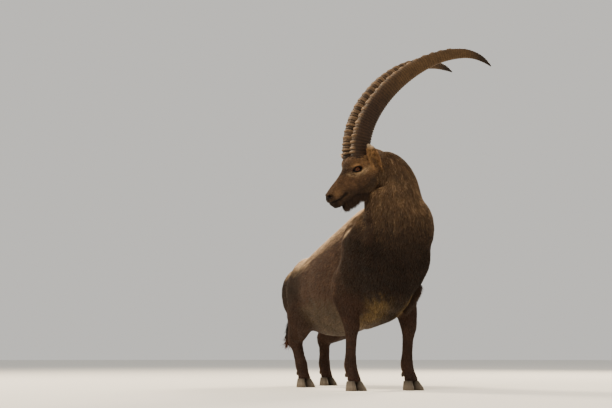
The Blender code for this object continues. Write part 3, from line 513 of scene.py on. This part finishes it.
def markings(spots, facing, parts):
    x, y, z = (spots - shift).T
    up, plain = facing[:, 2], np.ones((len(spots), 1))
    ragged = 0.014 * wander(spots, 0.05, 3) + 0.010 * wander(spots, 0.017, 4)
    streaks = wander(spots * (1, 1, 0.35), 0.016, 11)
    high, rear, wide = z + ragged, y + ragged, np.abs(x)
    # pale back: partly the coat's own paler hair, partly a painted rim highlight on up-facing surfaces
    paleToplineAndRimLight = smoothStep(0.40, 0.88, up + 0.03 * streaks)
    body = paint(
        plain * coat["flank"],
        ("back", smoothStep(0.62, 0.84, z + 0.18 * y + ragged)),
        ("chest", smoothStep(-0.16, -0.36, rear) * smoothStep(0.84, 0.62, high)),
        ("paleBackAndRimLight", paleToplineAndRimLight * smoothStep(-0.34, -0.22, y) * 0.85),
        ("belly", smoothStep(0.425, 0.385, z + 1.2 * ragged) * smoothStep(-0.26, -0.18, rear)
         * smoothStep(0.36, 0.24, rear)),
        ("armpit", smoothStep(0.430, 0.385, high) * smoothStep(-0.47, -0.42, y) * smoothStep(-0.04, -0.14, y)
         * spot((wide, 0.080, 0.045)) * (0.75 + 0.20 * streaks)),
        ("rumpEdge", smoothStep(0.50, 0.565, rear) * smoothStep(0.64, 0.54, high) * smoothStep(0.38, 0.44, z)
         * smoothStep(0.02, 0.06, wide)))
    neck = paint(
        plain * coat["neck"],
        ("nape", smoothStep(0.0, 0.75, up + 0.3 * wander(spots, 0.06, 5)) * 0.8),
        ("napeDark", smoothStep(0.3, 0.9, up) * smoothStep(0.0, 1.0, wander(spots, 0.045, 13)) * 0.55),
        ("napeDark", smoothStep(0.92, 1.00, high) * 0.55),
        ("chest", smoothStep(0.85, 0.64, high) * 0.85),
        ("fleck", 0.12 * smoothStep(0.3, 1.3, streaks) * smoothStep(0.62, 0.78, z)))
    neck = neck * (1 + 0.14 * wander(spots * (1, 1, 0.6), 0.010, 16))[:, None]
    thigh = paint(
        plain * coat["thigh"],
        ("rump", smoothStep(0.52, 0.65, high)),
        # the same pale hair with its painted rim highlight, along the top of the rump
        ("paleBackAndRimLight", paleToplineAndRimLight * 0.8),
        ("rumpEdge", smoothStep(0.515, 0.56, rear) * smoothStep(0.40, 0.46, z)),
        ("legs", smoothStep(0.48, 0.36, high)))
    legs = paint(
        body,
        ("legs", smoothStep(0.50, 0.41, high) * smoothStep(0.06, 0.10, wide)),
        ("legs", smoothStep(0.36, 0.30, z)),
        ("fetlock", smoothStep(0.06, 0.09, z) * smoothStep(0.145, 0.115, z + ragged * 0.4)
         * smoothStep(-0.1, 0.5, facing[:, 1]) * 0.75))
    face = toHead(spots)
    ahead, across, rise = face.T
    patchy = wander(spots, 0.022, 12)
    head = paint(
        plain * coat["cheek"],
        ("forehead", smoothStep(0.00, 0.04, rise + ragged * 0.4) * smoothStep(0.080, 0.115, ahead)),
        ("browPatch", spot((ahead, 0.045, 0.032), (rise, 0.048, 0.024)) * 0.5),
        ("browPatch", spot((ahead, 0.028, 0.026), (rise, -0.004, 0.030)) * 0.65),
        ("muzzle", smoothStep(0.11, 0.19, ahead - 0.5 * rise + ragged * 0.5)),
        ("chest", smoothStep(-0.018, -0.070, rise + ragged * 0.7) * 0.88),
        ("forehead", smoothStep(0.0, 1.1, patchy) * 0.55))
    head = head * (1 + 0.16 * wander(spots, 0.011, 14) + 0.08 * wander(spots, 0.006, 15))[:, None]
    head = paint(
        head,
        ("browPatch", spot((ahead, 0.236, 0.018), (rise, -0.016, 0.014)) * 0.5),
        ("nape", smoothStep(-0.02, -0.06, ahead) * 0.5),
        ("lip", spot((lineGap(face[:, [0, 2]], faceLook["mouth"]), 0, 0.0060))),
        ("lip", smoothStep(0.238, 0.262, ahead) * smoothStep(-0.026, -0.040, rise) * 0.7),
        ("lip", spot((ahead, 0.271, 0.019), (rise, -0.014, 0.019))))
    for eye in eyes.values():
        along, above, out = ((spots - eye["middle"]) @ eye["axes"]).T
        ring = np.sqrt((along / 0.0240) ** 2 + (above / 0.0135) ** 2 + (out / 0.05) ** 2)
        below = smoothStep(0.004, -0.006, above) * smoothStep(2.9, 1.9, ring) * smoothStep(1.1, 1.5, ring)
        # greyish wrinkle hair below the eye, laid in bands along painted creases; the darker troughs between the bands
        # are painted shade
        creases = np.sin(ring * 9.5 + 1.6 * patchy)
        head = paint(
            head,
            ("browPatch", spot((above, 0.021, 0.006), (along, 0, 0.026), (out, 0, 0.05)) * 0.8),
            ("wrinkle", below * (0.34 + 0.26 * creases)),
            ("lip", below * 0.28 * smoothStep(-0.2, -0.9, creases)),
            ("eyeRing", smoothStep(1.25, 0.95, ring)),
            ("eyeRing", spot((along, 0.030, 0.012), (above, -0.006, 0.005), (out, 0, 0.05)) * 0.8))
    head = paint(head, ("beard", smoothStep(0.105, 0.135, ahead) * smoothStep(0.225, 0.200, ahead)
                        * smoothStep(-0.070, -0.085, rise)))
    ear = paint(
        plain * coat["earBack"],
        ("earInside", smoothStep(0.1, 0.5, facing @ leftAxis * np.sign(across))),
        ("chest", 0.60 * smoothStep(0.2, 1.0, wander(spots * (1, 1, 0.3), 0.012, 8))),
        ("earRim", smoothStep(1.048, 1.072, z)))
    tail = paint(plain * coat["tail"], ("tailTip", smoothStep(0.30, 0.25, high)))
    total = sum(colours * parts[:, index:index + 1]
                for index, colours in enumerate((head, ear, neck, body, thigh, legs, tail)))
    return total * (1 + 0.10 * wander(spots, 0.09, 9) + 0.10 * wander(spots, 0.03, 10))[:, None]


# short haired hide: matt, softly mottled, with a fine grain as relief
hide = mottledMaterial(
    "shortHairedHide", {"Roughness": 0.85, "IOR": 1.22, "Sheen Weight": 0.02, "Sheen Roughness": 0.50},
    flecks=(4.0, 4, 0.6), fromSpan=(0.3, 0.7), toSpan=(0.78, 1.18), grain=(4.0, 4, 0.6), relief=(0.5, 0.0012))
# summer guard hair: matt with a weak sheen, its tufts a little lighter or darker in groups
fur = mottledMaterial(
    "summerGuardHair", {"Roughness": 0.66, "IOR": 1.24, "Sheen Weight": 0.03, "Sheen Roughness": 0.40},
    flecks=(9.0, 3, 0.65), fromSpan=(0.32, 0.68), toSpan=(0.80, 1.20))

skinTriangles = meshTriangles(fused)
work = bpy.data.objects.new("unwrap", newMesh("unwrap", points, skinTriangles))
bpy.context.scene.collection.objects.link(work)
bpy.context.view_layer.objects.active = work
work.select_set(True)
bpy.ops.object.mode_set(mode="EDIT")
bpy.ops.mesh.select_all(action="SELECT")
bpy.ops.uv.smart_project(angle_limit=math.radians(75), island_margin=0.001)
bpy.ops.object.mode_set(mode="OBJECT")
unwrap = readAll(work.data.uv_layers.active.data, "uv", 2).reshape(-1, 3, 2)
bpy.data.objects.remove(work, do_unlink=True)
print("skin: unwrapped")

skinColours = markings(points, normals, weights) * 0.80
# nostril pits and mouth groove: dark nose and lip skin, darkened further with painted shade inside the hollows
skinColours = mix(skinColours, coat["lip"] * 0.4, np.maximum(nostrilMask * 1.3, mouthMask * 0.8))
lidWeights = np.tile(np.eye(len(regions))[0], (len(lidPoints), 1))
lidColours = markings(lidPoints, np.tile((0.0, 0.0, 1.0), (len(lidPoints), 1)), lidWeights)
lidColours = mix(lidColours, toLinear("#0f0b09"), smoothStep(0.42, 0.12, lidTones))
skinMesh = newMesh("skin", np.concatenate([points, lidPoints]),
                   np.concatenate([skinTriangles, lidTriangles + len(points)]),
                   np.concatenate([skinColours, lidColours]))
addPiece("skin", skinMesh, hide, "coat", *fleshNodes)
print("skin done:", len(skinMesh.polygons), "triangles")

# summer coat: short tufts that lie along the body
coatLook = {  # spacing, length, width, how far the tips stand out, all in metres
    "head": {"spacing": 0.0026, "length": 0.0095, "width": 0.0015, "lift": 0.0016},
    "ear": {"spacing": 0.0028, "length": 0.0100, "width": 0.0014, "lift": 0.0014},
    "neck": {"spacing": 0.0041, "length": 0.0170, "width": 0.0021, "lift": 0.0036},
    "torso": {"spacing": 0.0048, "length": 0.0180, "width": 0.0025, "lift": 0.0036},
    "thigh": {"spacing": 0.0048, "length": 0.0180, "width": 0.0025, "lift": 0.0036},
    "leg": {"spacing": 0.0038, "length": 0.0125, "width": 0.0019, "lift": 0.0022},
    "tail": {"spacing": 0.0040, "length": 0.0300, "width": 0.0026, "lift": 0.0050},
}
coatPieceTufts = 21500  # tufts in one piece, so that it stays under 200,000 triangles
tuftRows = ((0.0, 0.80, -0.20), (0.52, 1.0, 0.62), (1.0, 0.0, 1.0))  # along, width, lift


def lieOf(spots, facing, parts):
    own = spots - shift
    across = toHead(spots)[:, 1]
    flow = np.zeros_like(spots)
    earUp = unit(np.outer(np.ones(len(spots)), 0.64 * forwardAxis + np.array((0, 0, 1.16)))
                 + 0.30 * np.sign(across)[:, None] * leftAxis)
    rear = smoothStep(-0.35, 0.10, own[:, 1])[:, None]
    trunk = (1 - rear) * np.array((0.0, 0.55, -0.85)) + rear * np.array((0.0, 0.95, -0.38))
    guides = {"head": -forwardAxis + np.array((0, 0, -0.22)), "ear": earUp, "neck": np.array((0.10, 0.42, -0.95)),
              "torso": trunk, "thigh": np.array((0.0, 0.45, -0.90)), "leg": np.array((0.0, 0.12, -1.0)),
              "tail": np.array((-0.10, 0.25, -1.0))}
    for index, region in enumerate(regions):
        flow += parts[:, index:index + 1] * guides[region]
    flow -= facing * (flow * facing).sum(1, keepdims=True)
    return unit(flow)


def growTufts(roots, facing, lie, length, width, lift, tones, places, rows=tuftRows):
    across = np.cross(facing, lie)
    count, levels = len(roots), len(rows)
    ring = np.empty((count, levels * 3 - 2, 3))
    shade = np.empty((count, levels * 3 - 2, 3))
    patch = np.empty((count, levels * 3 - 2, 2))
    for level, (along, wide, stand) in enumerate(rows):
        middle = roots + lie * (length * along)[:, None] + facing * (lift * stand)[:, None]
        start = level * 3
        tone = (0.74 + 0.46 * along) * tones
        if level == levels - 1:
            ring[:, start], shade[:, start] = middle, tone
            patch[:, start] = places + (0.0, 0.0015)
            break
        half = (width * wide * 0.5)[:, None]
        ring[:, start] = middle - across * half
        ring[:, start + 1] = middle + facing * half * 0.7
        ring[:, start + 2] = middle + across * half
        for corner, side in enumerate((-0.0015, 0.0, 0.0015)):
            shade[:, start + corner] = tone
            patch[:, start + corner] = places + (side, -0.0015 + 0.003 * along)
    faces = []
    for level in range(levels - 2):
        low, high = level * 3, level * 3 + 3
        for a, b in ((0, 1), (1, 2), (2, 0)):
            faces += [(low + a, high + b, low + b), (low + a, high + a, high + b)]
    low, tip = (levels - 2) * 3, (levels - 1) * 3
    faces += [(low + a, tip, low + b) for a, b in ((0, 1), (1, 2), (2, 0))]
    size = levels * 3 - 2
    triangles = np.array(faces)[None] + (np.arange(count) * size)[:, None, None]
    return ring.reshape(-1, 3), triangles.reshape(-1, 3), shade.reshape(-1, 3), patch.reshape(-1, 2)


def sampleSkin(spacing, allowed):
    a, b, c = (points[skinTriangles[:, k]] for k in range(3))
    area = 0.5 * np.linalg.norm(np.cross(b - a, c - a), axis=1)
    wanted = area * allowed / spacing ** 2
    number = np.floor(wanted + rng.random(len(wanted))).astype(int)
    face = np.repeat(np.arange(len(skinTriangles)), number)
    r, s = np.sqrt(rng.random(len(face))), rng.random(len(face))
    share = np.stack([1 - r, r * (1 - s), r * s], -1)
    def blend(values):
        return (values[skinTriangles[face]] * share[:, :, None]).sum(1)
    return blend(points), unit(blend(normals)), blend(weights), (unwrap[face] * share[:, :, None]).sum(1)


faceParts = weights[skinTriangles].mean(1)
faceCover = lidCover[skinTriangles].max(1)
inMouth = np.maximum(mouthMask, nostrilMask * 1.5)[skinTriangles].max(1)
spacing = faceParts @ np.array([coatLook[region]["spacing"] for region in regions])
roots, facing, parts, places = sampleSkin(spacing, (faceCover < 0.5) * (inMouth < 0.45))
tufts = {key: parts @ np.array([coatLook[region][key] for region in regions]) for key in ("length", "width", "lift")}
own, face = roots - shift, toHead(roots)
onMuzzle = parts[:, 0] * smoothStep(0.14, 0.24, face[:, 0])
nearEye = parts[:, 0] * np.exp(-(np.minimum(*[np.linalg.norm(roots - eye["middle"], axis=1) for eye in eyes.values()])
                                 / 0.040) ** 4)
atElbow = np.exp(-(np.linalg.norm(own - np.array((0.135, -0.375, 0.430)), axis=1) / 0.070) ** 4)
shorter = (1 - 0.45 * onMuzzle - 0.45 * nearEye) * (1 - 0.65 * atElbow)
crest = parts[:, 2] * smoothStep(0.05, 0.45, facing[:, 2]) * smoothStep(0.70, 0.90, own[:, 2])
longer = 1 + 0.45 * crest * rng.random(len(roots)) + 0.3 * parts[:, 4] * smoothStep(0.48, 0.56, own[:, 1])
length = tufts["length"] * shorter * longer * rng.uniform(0.75, 1.25, len(roots))
width = tufts["width"] * (0.75 + 0.25 * shorter) * rng.uniform(0.8, 1.2, len(roots))
lift = tufts["lift"] * shorter * rng.uniform(0.45, 1.15, len(roots))
lie = lieOf(roots, facing, parts)
lie = unit(lie + np.cross(facing, lie) * rng.normal(0, 0.16, len(roots))[:, None])
tones = markings(roots, facing, parts) * rng.uniform(0.72, 1.30, len(roots))[:, None]
flecks = (rng.random(len(roots)) < 0.20 * parts[:, 2] + 0.08 * parts[:, 3])[:, None]
tones = np.where(flecks, tones * rng.uniform(1.4, 2.3, (len(roots), 1)), tones)  # pale hairs in the neck and flank
order = np.argsort(np.argmax(parts, 1) * 10 + own[:, 1], kind="stable")
pieceCount = int(math.ceil(len(order) / coatPieceTufts))
for number, group in enumerate(np.array_split(order, pieceCount)):
    made = growTufts(roots[group], facing[group], lie[group], length[group], width[group], lift[group],
                     tones[group], places[group])
    addPiece("coat_%02d" % (number + 1), newMesh("coat", *made), fur, "coat")
print("coat:", len(roots), "tufts in", pieceCount, "pieces")

# long hair: beard and brush of the tail
hairLook = {
    "beard": {"spacing": 0.0020, "length": 0.032, "width": 0.0022, "lift": 0.003, "spread": 0.16},
    "tail": {"spacing": 0.0030, "length": 0.056, "width": 0.0030, "lift": 0.003, "spread": 0.12},
}
longRows = ((0.0, 0.7, -0.3), (0.22, 1.0, 0.5), (0.45, 0.95, 0.9), (0.70, 0.65, 1.0), (1.0, 0.0, 1.0))


def longHair(place, chosen, guide, tone):
    look, name = hairLook[place], place + "_hair"
    spots, out, _, patches = sampleSkin(np.full(len(skinTriangles), look["spacing"]), chosen)
    number = len(spots)
    flow = unit(np.tile(guide, (number, 1)) + rng.normal(0, look["spread"], (number, 3)))
    flow = unit(flow - 0.85 * out * np.minimum((flow * out).sum(1, keepdims=True), 0))
    made = growTufts(spots, unit(out - flow * (out * flow).sum(1, keepdims=True)), flow,
                     look["length"] * rng.uniform(0.65, 1.15, number), look["width"] * rng.uniform(0.8, 1.2, number),
                     look["lift"] * rng.uniform(0.3, 1.1, number),
                     tone(spots) * rng.uniform(0.7, 1.4, number)[:, None], patches, rows=longRows)
    addPiece(name, newMesh(name, *made), fur, "coat")
    print(name + ":", number, "locks")


middles = points[skinTriangles].mean(1)
ahead, beside, rise = toHead(middles).T
chin = (ahead > 0.084) & (ahead < 0.212) & (np.abs(beside) < 0.024) & (rise < -0.070)
longHair("beard", chin, -upAxis * 0.35 + np.array((0.25, 0.0, -1.0)),
         lambda spots: np.tile(coat["beard"], (len(spots), 1)))
brush = (faceParts[:, regions.index("tail")] > 0.5) & ((middles - shift)[:, 2] < 0.44)
longHair("tail", brush, np.array((-0.42, -0.10, -1.0)),
         lambda spots: mix(np.tile(coat["tail"], (len(spots), 1)), coat["tailTip"],
                           smoothStep(0.30, 0.25, (spots - shift)[:, 2])))


# horns: sheath with growth rings and knobs along the front
hornLook = {
    "length": 0.99, "halfDepth": 0.0425, "halfWidth": 0.029, "base": (-0.176, -0.402, 0.970), "spread": 0.036,
    "rise": 1.99, "bend": (4.67, -6.29, 4.00), "turn": 2.7, "tilt": 4.7, "flare": 4.4, "tipFlare": 0.053,
    "lean": 2.3, "sunk": 0.052, "knobs": 21, "firstKnob": 0.085, "lastKnob": 0.780, "knobHeight": 0.0075,
    "rings": 420, "around": 48, "squareness": 0.75, "hookFrom": 0.84, "hook": {"left": 0.36, "right": -0.10},
    "lineGap": 0.0042, "foldGap": 0.0125, "turnedIn": 0.52,
}
hornColours = {"side": "#2d1f15", "upper": "#4a3722", "front": "#715a42", "grooveShade": "#1c130c", "tip": "#20170f",
               "base": "#22170f"}
hornTone = {name: toLinear(text) for name, text in hornColours.items()}


# weathered keratin: satin and blotched, with fine pits
horn = mottledMaterial(
    "weatheredHornKeratin", {"Roughness": 0.66, "IOR": 1.25},
    flecks=(22.0, 6, 0.65), fromSpan=(0.3, 0.7), toSpan=(0.70, 1.30), grain=(2.5, 3, 0.6), relief=(0.35, 0.0008))


def hornMesh(word, side):
    steps = np.linspace(0, 1, 2001)
    bend = hornLook["bend"]
    angles = hornLook["rise"] - (bend[0] * steps + bend[1] * steps ** 2 + bend[2] * steps ** 3)
    hookFrom = hornLook["hookFrom"]
    angles = angles - hornLook["hook"][word] * np.clip(steps - hookFrom, 0, 1) / (1 - hookFrom)  # one tip hooks down
    middle = 0.5 * (angles[1:] + angles[:-1])
    stride = hornLook["length"] / 2000
    back = np.concatenate([[0], np.cumsum(np.cos(middle) * stride)])
    up = np.concatenate([[0], np.cumsum(np.sin(middle) * stride)])
    flare, lean = math.radians(hornLook["flare"]), math.radians(hornLook["lean"])
    out = hornLook["spread"] + back * math.sin(flare) + up * math.sin(lean) + hornLook["tipFlare"] * steps ** 3
    turn = np.array(Matrix.Rotation(math.radians(hornLook["turn"]), 3, "Z")
                    @ Matrix.Rotation(math.radians(hornLook["tilt"]), 3, "X"))
    local = np.column_stack([back * math.cos(flare), -side * out, up * math.cos(lean)])
    path = np.array(hornLook["base"]) + shift + local @ turn.T
    fronts = np.column_stack([-np.sin(angles), np.zeros(len(angles)), np.cos(angles)]) @ turn.T
    q = hornLook["sunk"] + (1 - hornLook["sunk"]) * np.linspace(0, 1, hornLook["rings"])
    centre = np.stack([np.interp(q, steps, path[:, k]) for k in range(3)], -1)
    front = np.stack([np.interp(q, steps, fronts[:, k]) for k in range(3)], -1)
    along = unit(np.gradient(centre, axis=0))
    front = unit(front - along * (front * along).sum(1, keepdims=True))
    wide = np.cross(along, front)
    shrink = (1 - q ** 2.3) ** 0.8 + 0.08 * smoothStep(0.70, 0.88, q) * smoothStep(1.0, 0.94, q)
    halfDepth = hornLook["halfDepth"] * shrink + 0.003
    halfWidth = hornLook["halfWidth"] * (0.35 + 0.65 * shrink) * (1 - q ** 6) + 0.002
    knobs = hornLook["firstKnob"] + (hornLook["lastKnob"] - hornLook["firstKnob"]) \
        * (np.arange(hornLook["knobs"]) / (hornLook["knobs"] - 1)) ** 1.25
    gaps = np.gradient(knobs)
    hump = np.zeros(len(q))
    worn = np.random.default_rng(40 + side)
    for knob, gap in zip(knobs, gaps):
        away = (q - knob) / (gap * 0.24 * worn.uniform(0.85, 1.2))
        between = (q - knob - 0.5 * gap) / (gap * 0.13)
        hump = np.maximum(hump, worn.uniform(0.78, 1.0) * np.exp(-np.abs(away) ** 3.6))  # worn bar with a flat top
        hump = np.maximum(hump, worn.uniform(0.15, 0.55) * np.exp(-between ** 2))  # low ridge between two bars
    travel = q * hornLook["length"] * 2 * math.pi
    fine = 0.5 + 0.5 * np.sin(travel / hornLook["lineGap"])
    folds = np.sin(travel / hornLook["foldGap"] + 1.3 + 2.2 * np.sin(q * 23))
    turnRound = 2 * math.pi * np.arange(hornLook["around"]) / hornLook["around"]
    outSign = np.sign((wide[40] * leftAxis).sum() * side)
    inward = np.cos(turnRound + outSign * hornLook["turnedIn"])
    broad = smoothStep(0.42, 0.84, inward)  # the knobs span the front face, turned inwards
    ahead, aside = (np.sign(wave) * np.abs(wave) ** hornLook["squareness"]
                    for wave in (np.cos(turnRound), np.sin(turnRound)))
    raised = hornLook["knobHeight"] * (1 - 0.55 * q)
    depth = (halfDepth - 0.35 * hornLook["knobHeight"] * shrink)[:, None] + raised[:, None] * hump[:, None] * broad
    lines = ((0.0004 * fine + 0.0013 * folds) * (1 - 0.7 * q))[:, None] * (0.8 + 0.2 * np.abs(np.sin(turnRound)))
    wobble = np.random.default_rng(20 + side).normal(0, 0.0004, (len(q), 1)) * broad
    deep = (depth + lines + wobble) * ahead
    across = (halfWidth[:, None] + 0.10 * raised[:, None] * hump[:, None] * broad + lines) * aside
    ring = centre[:, None] + front[:, None] * deep[:, :, None] + wide[:, None] * across[:, :, None]
    tone = np.tile(hornTone["side"], (len(q), len(turnRound), 1))
    tone = mix(tone, hornTone["upper"], smoothStep(0.25, 0.62, q)[:, None])
    onFront = smoothStep(0.36, 0.80, inward) * np.ones((len(q), 1))
    tone = mix(tone, hornTone["front"], onFront * 0.25 + hump[:, None] * onFront * 0.68)
    # the hollows between the knobs on the front face darkened to near black: painted shade
    valleyShade = (1 - hump) ** 2 * (q < hornLook["lastKnob"])
    tone = mix(tone, hornTone["grooveShade"], valleyShade[:, None] * onFront * 0.85)
    tone = tone * ((0.84 + 0.08 * fine)[:, None] + (folds * (1 - 0.6 * q))[:, None] * (0.20 + 0.14 * broad))[..., None]
    tone = mix(tone, hornTone["tip"], smoothStep(0.84, 0.97, q)[:, None])
    tone = mix(tone, hornTone["base"], smoothStep(0.10, 0.04, q)[:, None] * 0.6).reshape(-1, 3)
    sheath = ring.reshape(-1, 3)
    ends = [ring[0].mean(0), ring[-1].mean(0) + along[-1] * 0.004]
    sheath, tone = np.concatenate([sheath, ends]), np.concatenate([tone, tone[[0, -1]]])
    triangles = closedGrid(len(q), len(turnRound))
    a, b, c = (sheath[triangles[:, k]] for k in range(3))
    if (a * np.cross(b, c)).sum() < 0:
        triangles = triangles[:, ::-1]
    return newMesh("horn", sheath, triangles, tone)


for word, side in sides.items():
    addPiece("horn_sheath_" + word, hornMesh(word, side), horn, "horn", "horn_" + word)
print("horns done")


# eyes: dark amber iris, flat pupil, wet cornea
eyeLook = {"iris": "#562e16", "irisEdge": "#180c07", "pupil": "#050404", "irisRadius": 0.0120,
           "pupilHalfLength": 0.0062, "pupilHalfHeight": 0.0024, "rows": 40, "columns": 56}


def eyeMaterial():  # glass clear cornea over a brown iris: a sharp small highlight
    made, tree, shader, place = newMaterial(
        "wetCorneaOverIris", {"Roughness": 0.16, "IOR": 1.18, "Coat Weight": 0.18, "Coat Roughness": 0.03})
    apart = addNode(tree, "ShaderNodeSeparateXYZ", links={"Vector": place}).outputs
    flat = addNode(tree, "ShaderNodeCombineXYZ", links={"X": apart["X"], "Y": apart["Y"]}).outputs["Vector"]
    radius = eyeLook["irisRadius"]
    outer = addRange(tree, addLength(tree, flat), (0.35 * radius, radius))
    fibres = addRange(tree, addNoise(tree, place, 1000 / 900, 3, 0.5), (0.0, 1.0), (0.6, 1.4))
    iris = addScaled(tree, addMix(tree, outer, eyeLook["iris"], eyeLook["irisEdge"]), fibres)
    squeezed = addNode(tree, "ShaderNodeVectorMath", links={0: flat}, operation="MULTIPLY")
    squeezed.inputs[1].default_value = (1 / eyeLook["pupilHalfLength"], 1 / eyeLook["pupilHalfHeight"], 0)
    beside = addRange(tree, addLength(tree, squeezed.outputs["Vector"]), (0.9, 1.1))
    tree.links.new(addMix(tree, beside, eyeLook["pupil"], iris), shader.inputs["Base Color"])
    return made


cornea = eyeMaterial()
for word, eye in eyes.items():
    rows, columns = eyeLook["rows"], eyeLook["columns"]
    tilt = np.linspace(0.012, math.pi - 0.012, rows)[:, None]
    turn = np.linspace(0, 2 * math.pi, columns, endpoint=False)[None]
    bulge = eye["radius"] * (0.985 + 0.045 * smoothStep(0.62, 0.35, tilt))
    ball = np.stack([bulge * np.sin(tilt) * np.cos(turn), bulge * np.sin(tilt) * np.sin(turn),
                     bulge * np.cos(tilt) * np.ones_like(turn)], -1).reshape(-1, 3)
    poles = np.array(((0, 0, eye["radius"] * 1.03), (0, 0, -eye["radius"] * 0.985)))
    item = addPiece("eyeball_" + word, newMesh("eyeball", np.concatenate([ball, poles]),
                                               closedGrid(rows, columns)[:, ::-1]), cornea, "eye", "eye_" + word)
    axes = Matrix(eye["axes"].tolist())
    if axes.determinant() < 0:
        axes = Matrix((eye["axes"] * (-1, 1, 1)).tolist())
    item.matrix_world = Matrix.Translation(eye["middle"]) @ axes.to_4x4()
print("eyes done")


# hooves: worn keratin claws
hoofLook = {"voxel": 0.0016, "upper": "#1f1a15", "lower": "#4f463b", "dewclaw": (0.0075, 0.0085, 0.0140),
            "dewclawApart": 0.0125, "dewclawRise": 0.070, "dewclawTurn": 28, "pastern": 0.078}


def hoofMaterial():  # worn claw horn: dry and dull, paler and scuffed towards the ground
    made, tree, shader, place = newMaterial("wornHoofKeratin", {"Roughness": 0.72, "IOR": 1.34})
    rise = addNode(tree, "ShaderNodeSeparateXYZ", links={"Vector": place}).outputs["Z"]
    mixed = addNode(tree, "ShaderNodeMath", {1: 0.5}, {0: addNoise(tree, place, 6.0, 6, 0.7),
                                                       2: addRange(tree, rise, (0.045, 0.010))},
                    operation="MULTIPLY_ADD")
    tree.links.new(addMix(tree, mixed.outputs["Value"], hoofLook["upper"], hoofLook["lower"]),
                   shader.inputs["Base Color"])
    bands = addNode(tree, "ShaderNodeTexWave", {"Scale": 1000 / 3.5 / 20, "Distortion": 2.0, "Detail": 2},
                    {"Vector": place}, bands_direction="Z")  # growth lines about 3.5 mm apart
    addRelief(tree, shader, bands.outputs["Fac"], 0.3, 0.0008)
    return made


claw = hoofMaterial()
for name in [name for name in nodes if name.startswith("hoof")]:
    made = bakedModifier(solidMesh([name]), "REMESH", mode="VOXEL", voxel_size=hoofLook["voxel"])
    spots = relax(meshPoints(made), meshEdges(made), 3)
    spots[:, 2] = np.where(spots[:, 2] < 0.0012, 0.0, spots[:, 2])
    movePoints(made, spots)
    box = np.array(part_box(name))
    pastern = points[(np.abs(points[:, 2] - hoofLook["pastern"]) < 0.008)
                     & (np.linalg.norm(points[:, :2] - box[:, :2].mean(0), axis=1) < 0.085)]
    bm = bmesh.new()
    bm.from_mesh(made)
    for side in (-1, 1):  # a pair of dewclaws behind the pastern
        place = (pastern[:, 0].mean() + side * hoofLook["dewclawApart"], pastern[:, 1].max() - 0.003,
                 hoofLook["dewclawRise"])
        turned = Matrix.Translation(place) @ Matrix.Rotation(math.radians(hoofLook["dewclawTurn"]), 4, "X") \
            @ Matrix.Diagonal((*hoofLook["dewclaw"], 1))
        bmesh.ops.create_icosphere(bm, subdivisions=3, radius=1.0, matrix=turned)
    bm.to_mesh(made)
    bm.free()
    made.polygons.foreach_set("use_smooth", np.full(len(made.polygons), True))
    addPiece("claws_" + name[5:], made, claw, "hoof", name)
print("hooves done")

# studio
studio = {
    "floor": "#e3e1dc", "floorRadius": 40.0, "floorDrop": 0.0006, "world": "#ece9e3", "worldStrength": 0.85,
    "aim": (0, -0.1, 0.8),
    "lamps": {  # place, size, watts, colour
        "key": ((-3.4, -2.6, 5.2), 2.6, 230, "#fff1dd"), "fill": ((3.6, -4.6, 1.8), 3.4, 40, "#fff6ea"),
        "rimLeft": ((-3.0, 3.2, 4.6), 1.8, 620, "#ffe9c8"), "rimRight": ((4.2, 2.4, 3.8), 2.0, 520, "#ffe9c8"),
    },
    "lens": 54.24, "sensor": 36.0, "cameraPlace": (-2.1093, -3.9816, 0.15), "cameraTurn": (99.4, 0.0, -25.0),
}
bm = bmesh.new()
bmesh.ops.create_circle(bm, cap_ends=True, segments=96, radius=studio["floorRadius"])
floorMesh = bpy.data.meshes.new("floor")
bm.to_mesh(floorMesh)
bm.free()
floor = bpy.data.objects.new("floor", floorMesh)
floor.location = (0, 0, -studio["floorDrop"])
bpy.context.scene.collection.objects.link(floor)
# matt paint, no gloss
floorPaint, _, floorShader, _ = newMaterial("mattStudioFloor", {"Roughness": 0.9})
floorShader.inputs["Base Color"].default_value = (*toLinear(studio["floor"]), 1)
floorMesh.materials.append(floorPaint)

world = bpy.data.worlds.new("studio")
bpy.context.scene.world = world
world.use_nodes = True
backdrop = world.node_tree.nodes["Background"]
backdrop.inputs["Color"].default_value = (*toLinear(studio["world"]), 1)
backdrop.inputs["Strength"].default_value = studio["worldStrength"]


for name, (place, size, power, colour) in studio["lamps"].items():
    lamp = bpy.data.lights.new(name, "AREA")
    lamp.shape, lamp.size, lamp.energy, lamp.color = "DISK", size, power, toLinear(colour)
    item = bpy.data.objects.new(name, lamp)
    item.location = place
    item.rotation_euler = (Vector(studio["aim"]) - Vector(place)).to_track_quat("-Z", "Y").to_euler()
    bpy.context.scene.collection.objects.link(item)

lens = bpy.data.cameras.new("photoView")
lens.lens, lens.sensor_width = studio["lens"], studio["sensor"]
camera = bpy.data.objects.new("photoView", lens)
camera.location = Vector(studio["cameraPlace"]) + Vector(shift)
camera.rotation_euler = [math.radians(angle) for angle in studio["cameraTurn"]]
bpy.context.scene.collection.objects.link(camera)
bpy.context.scene.camera = camera

print("studio done")
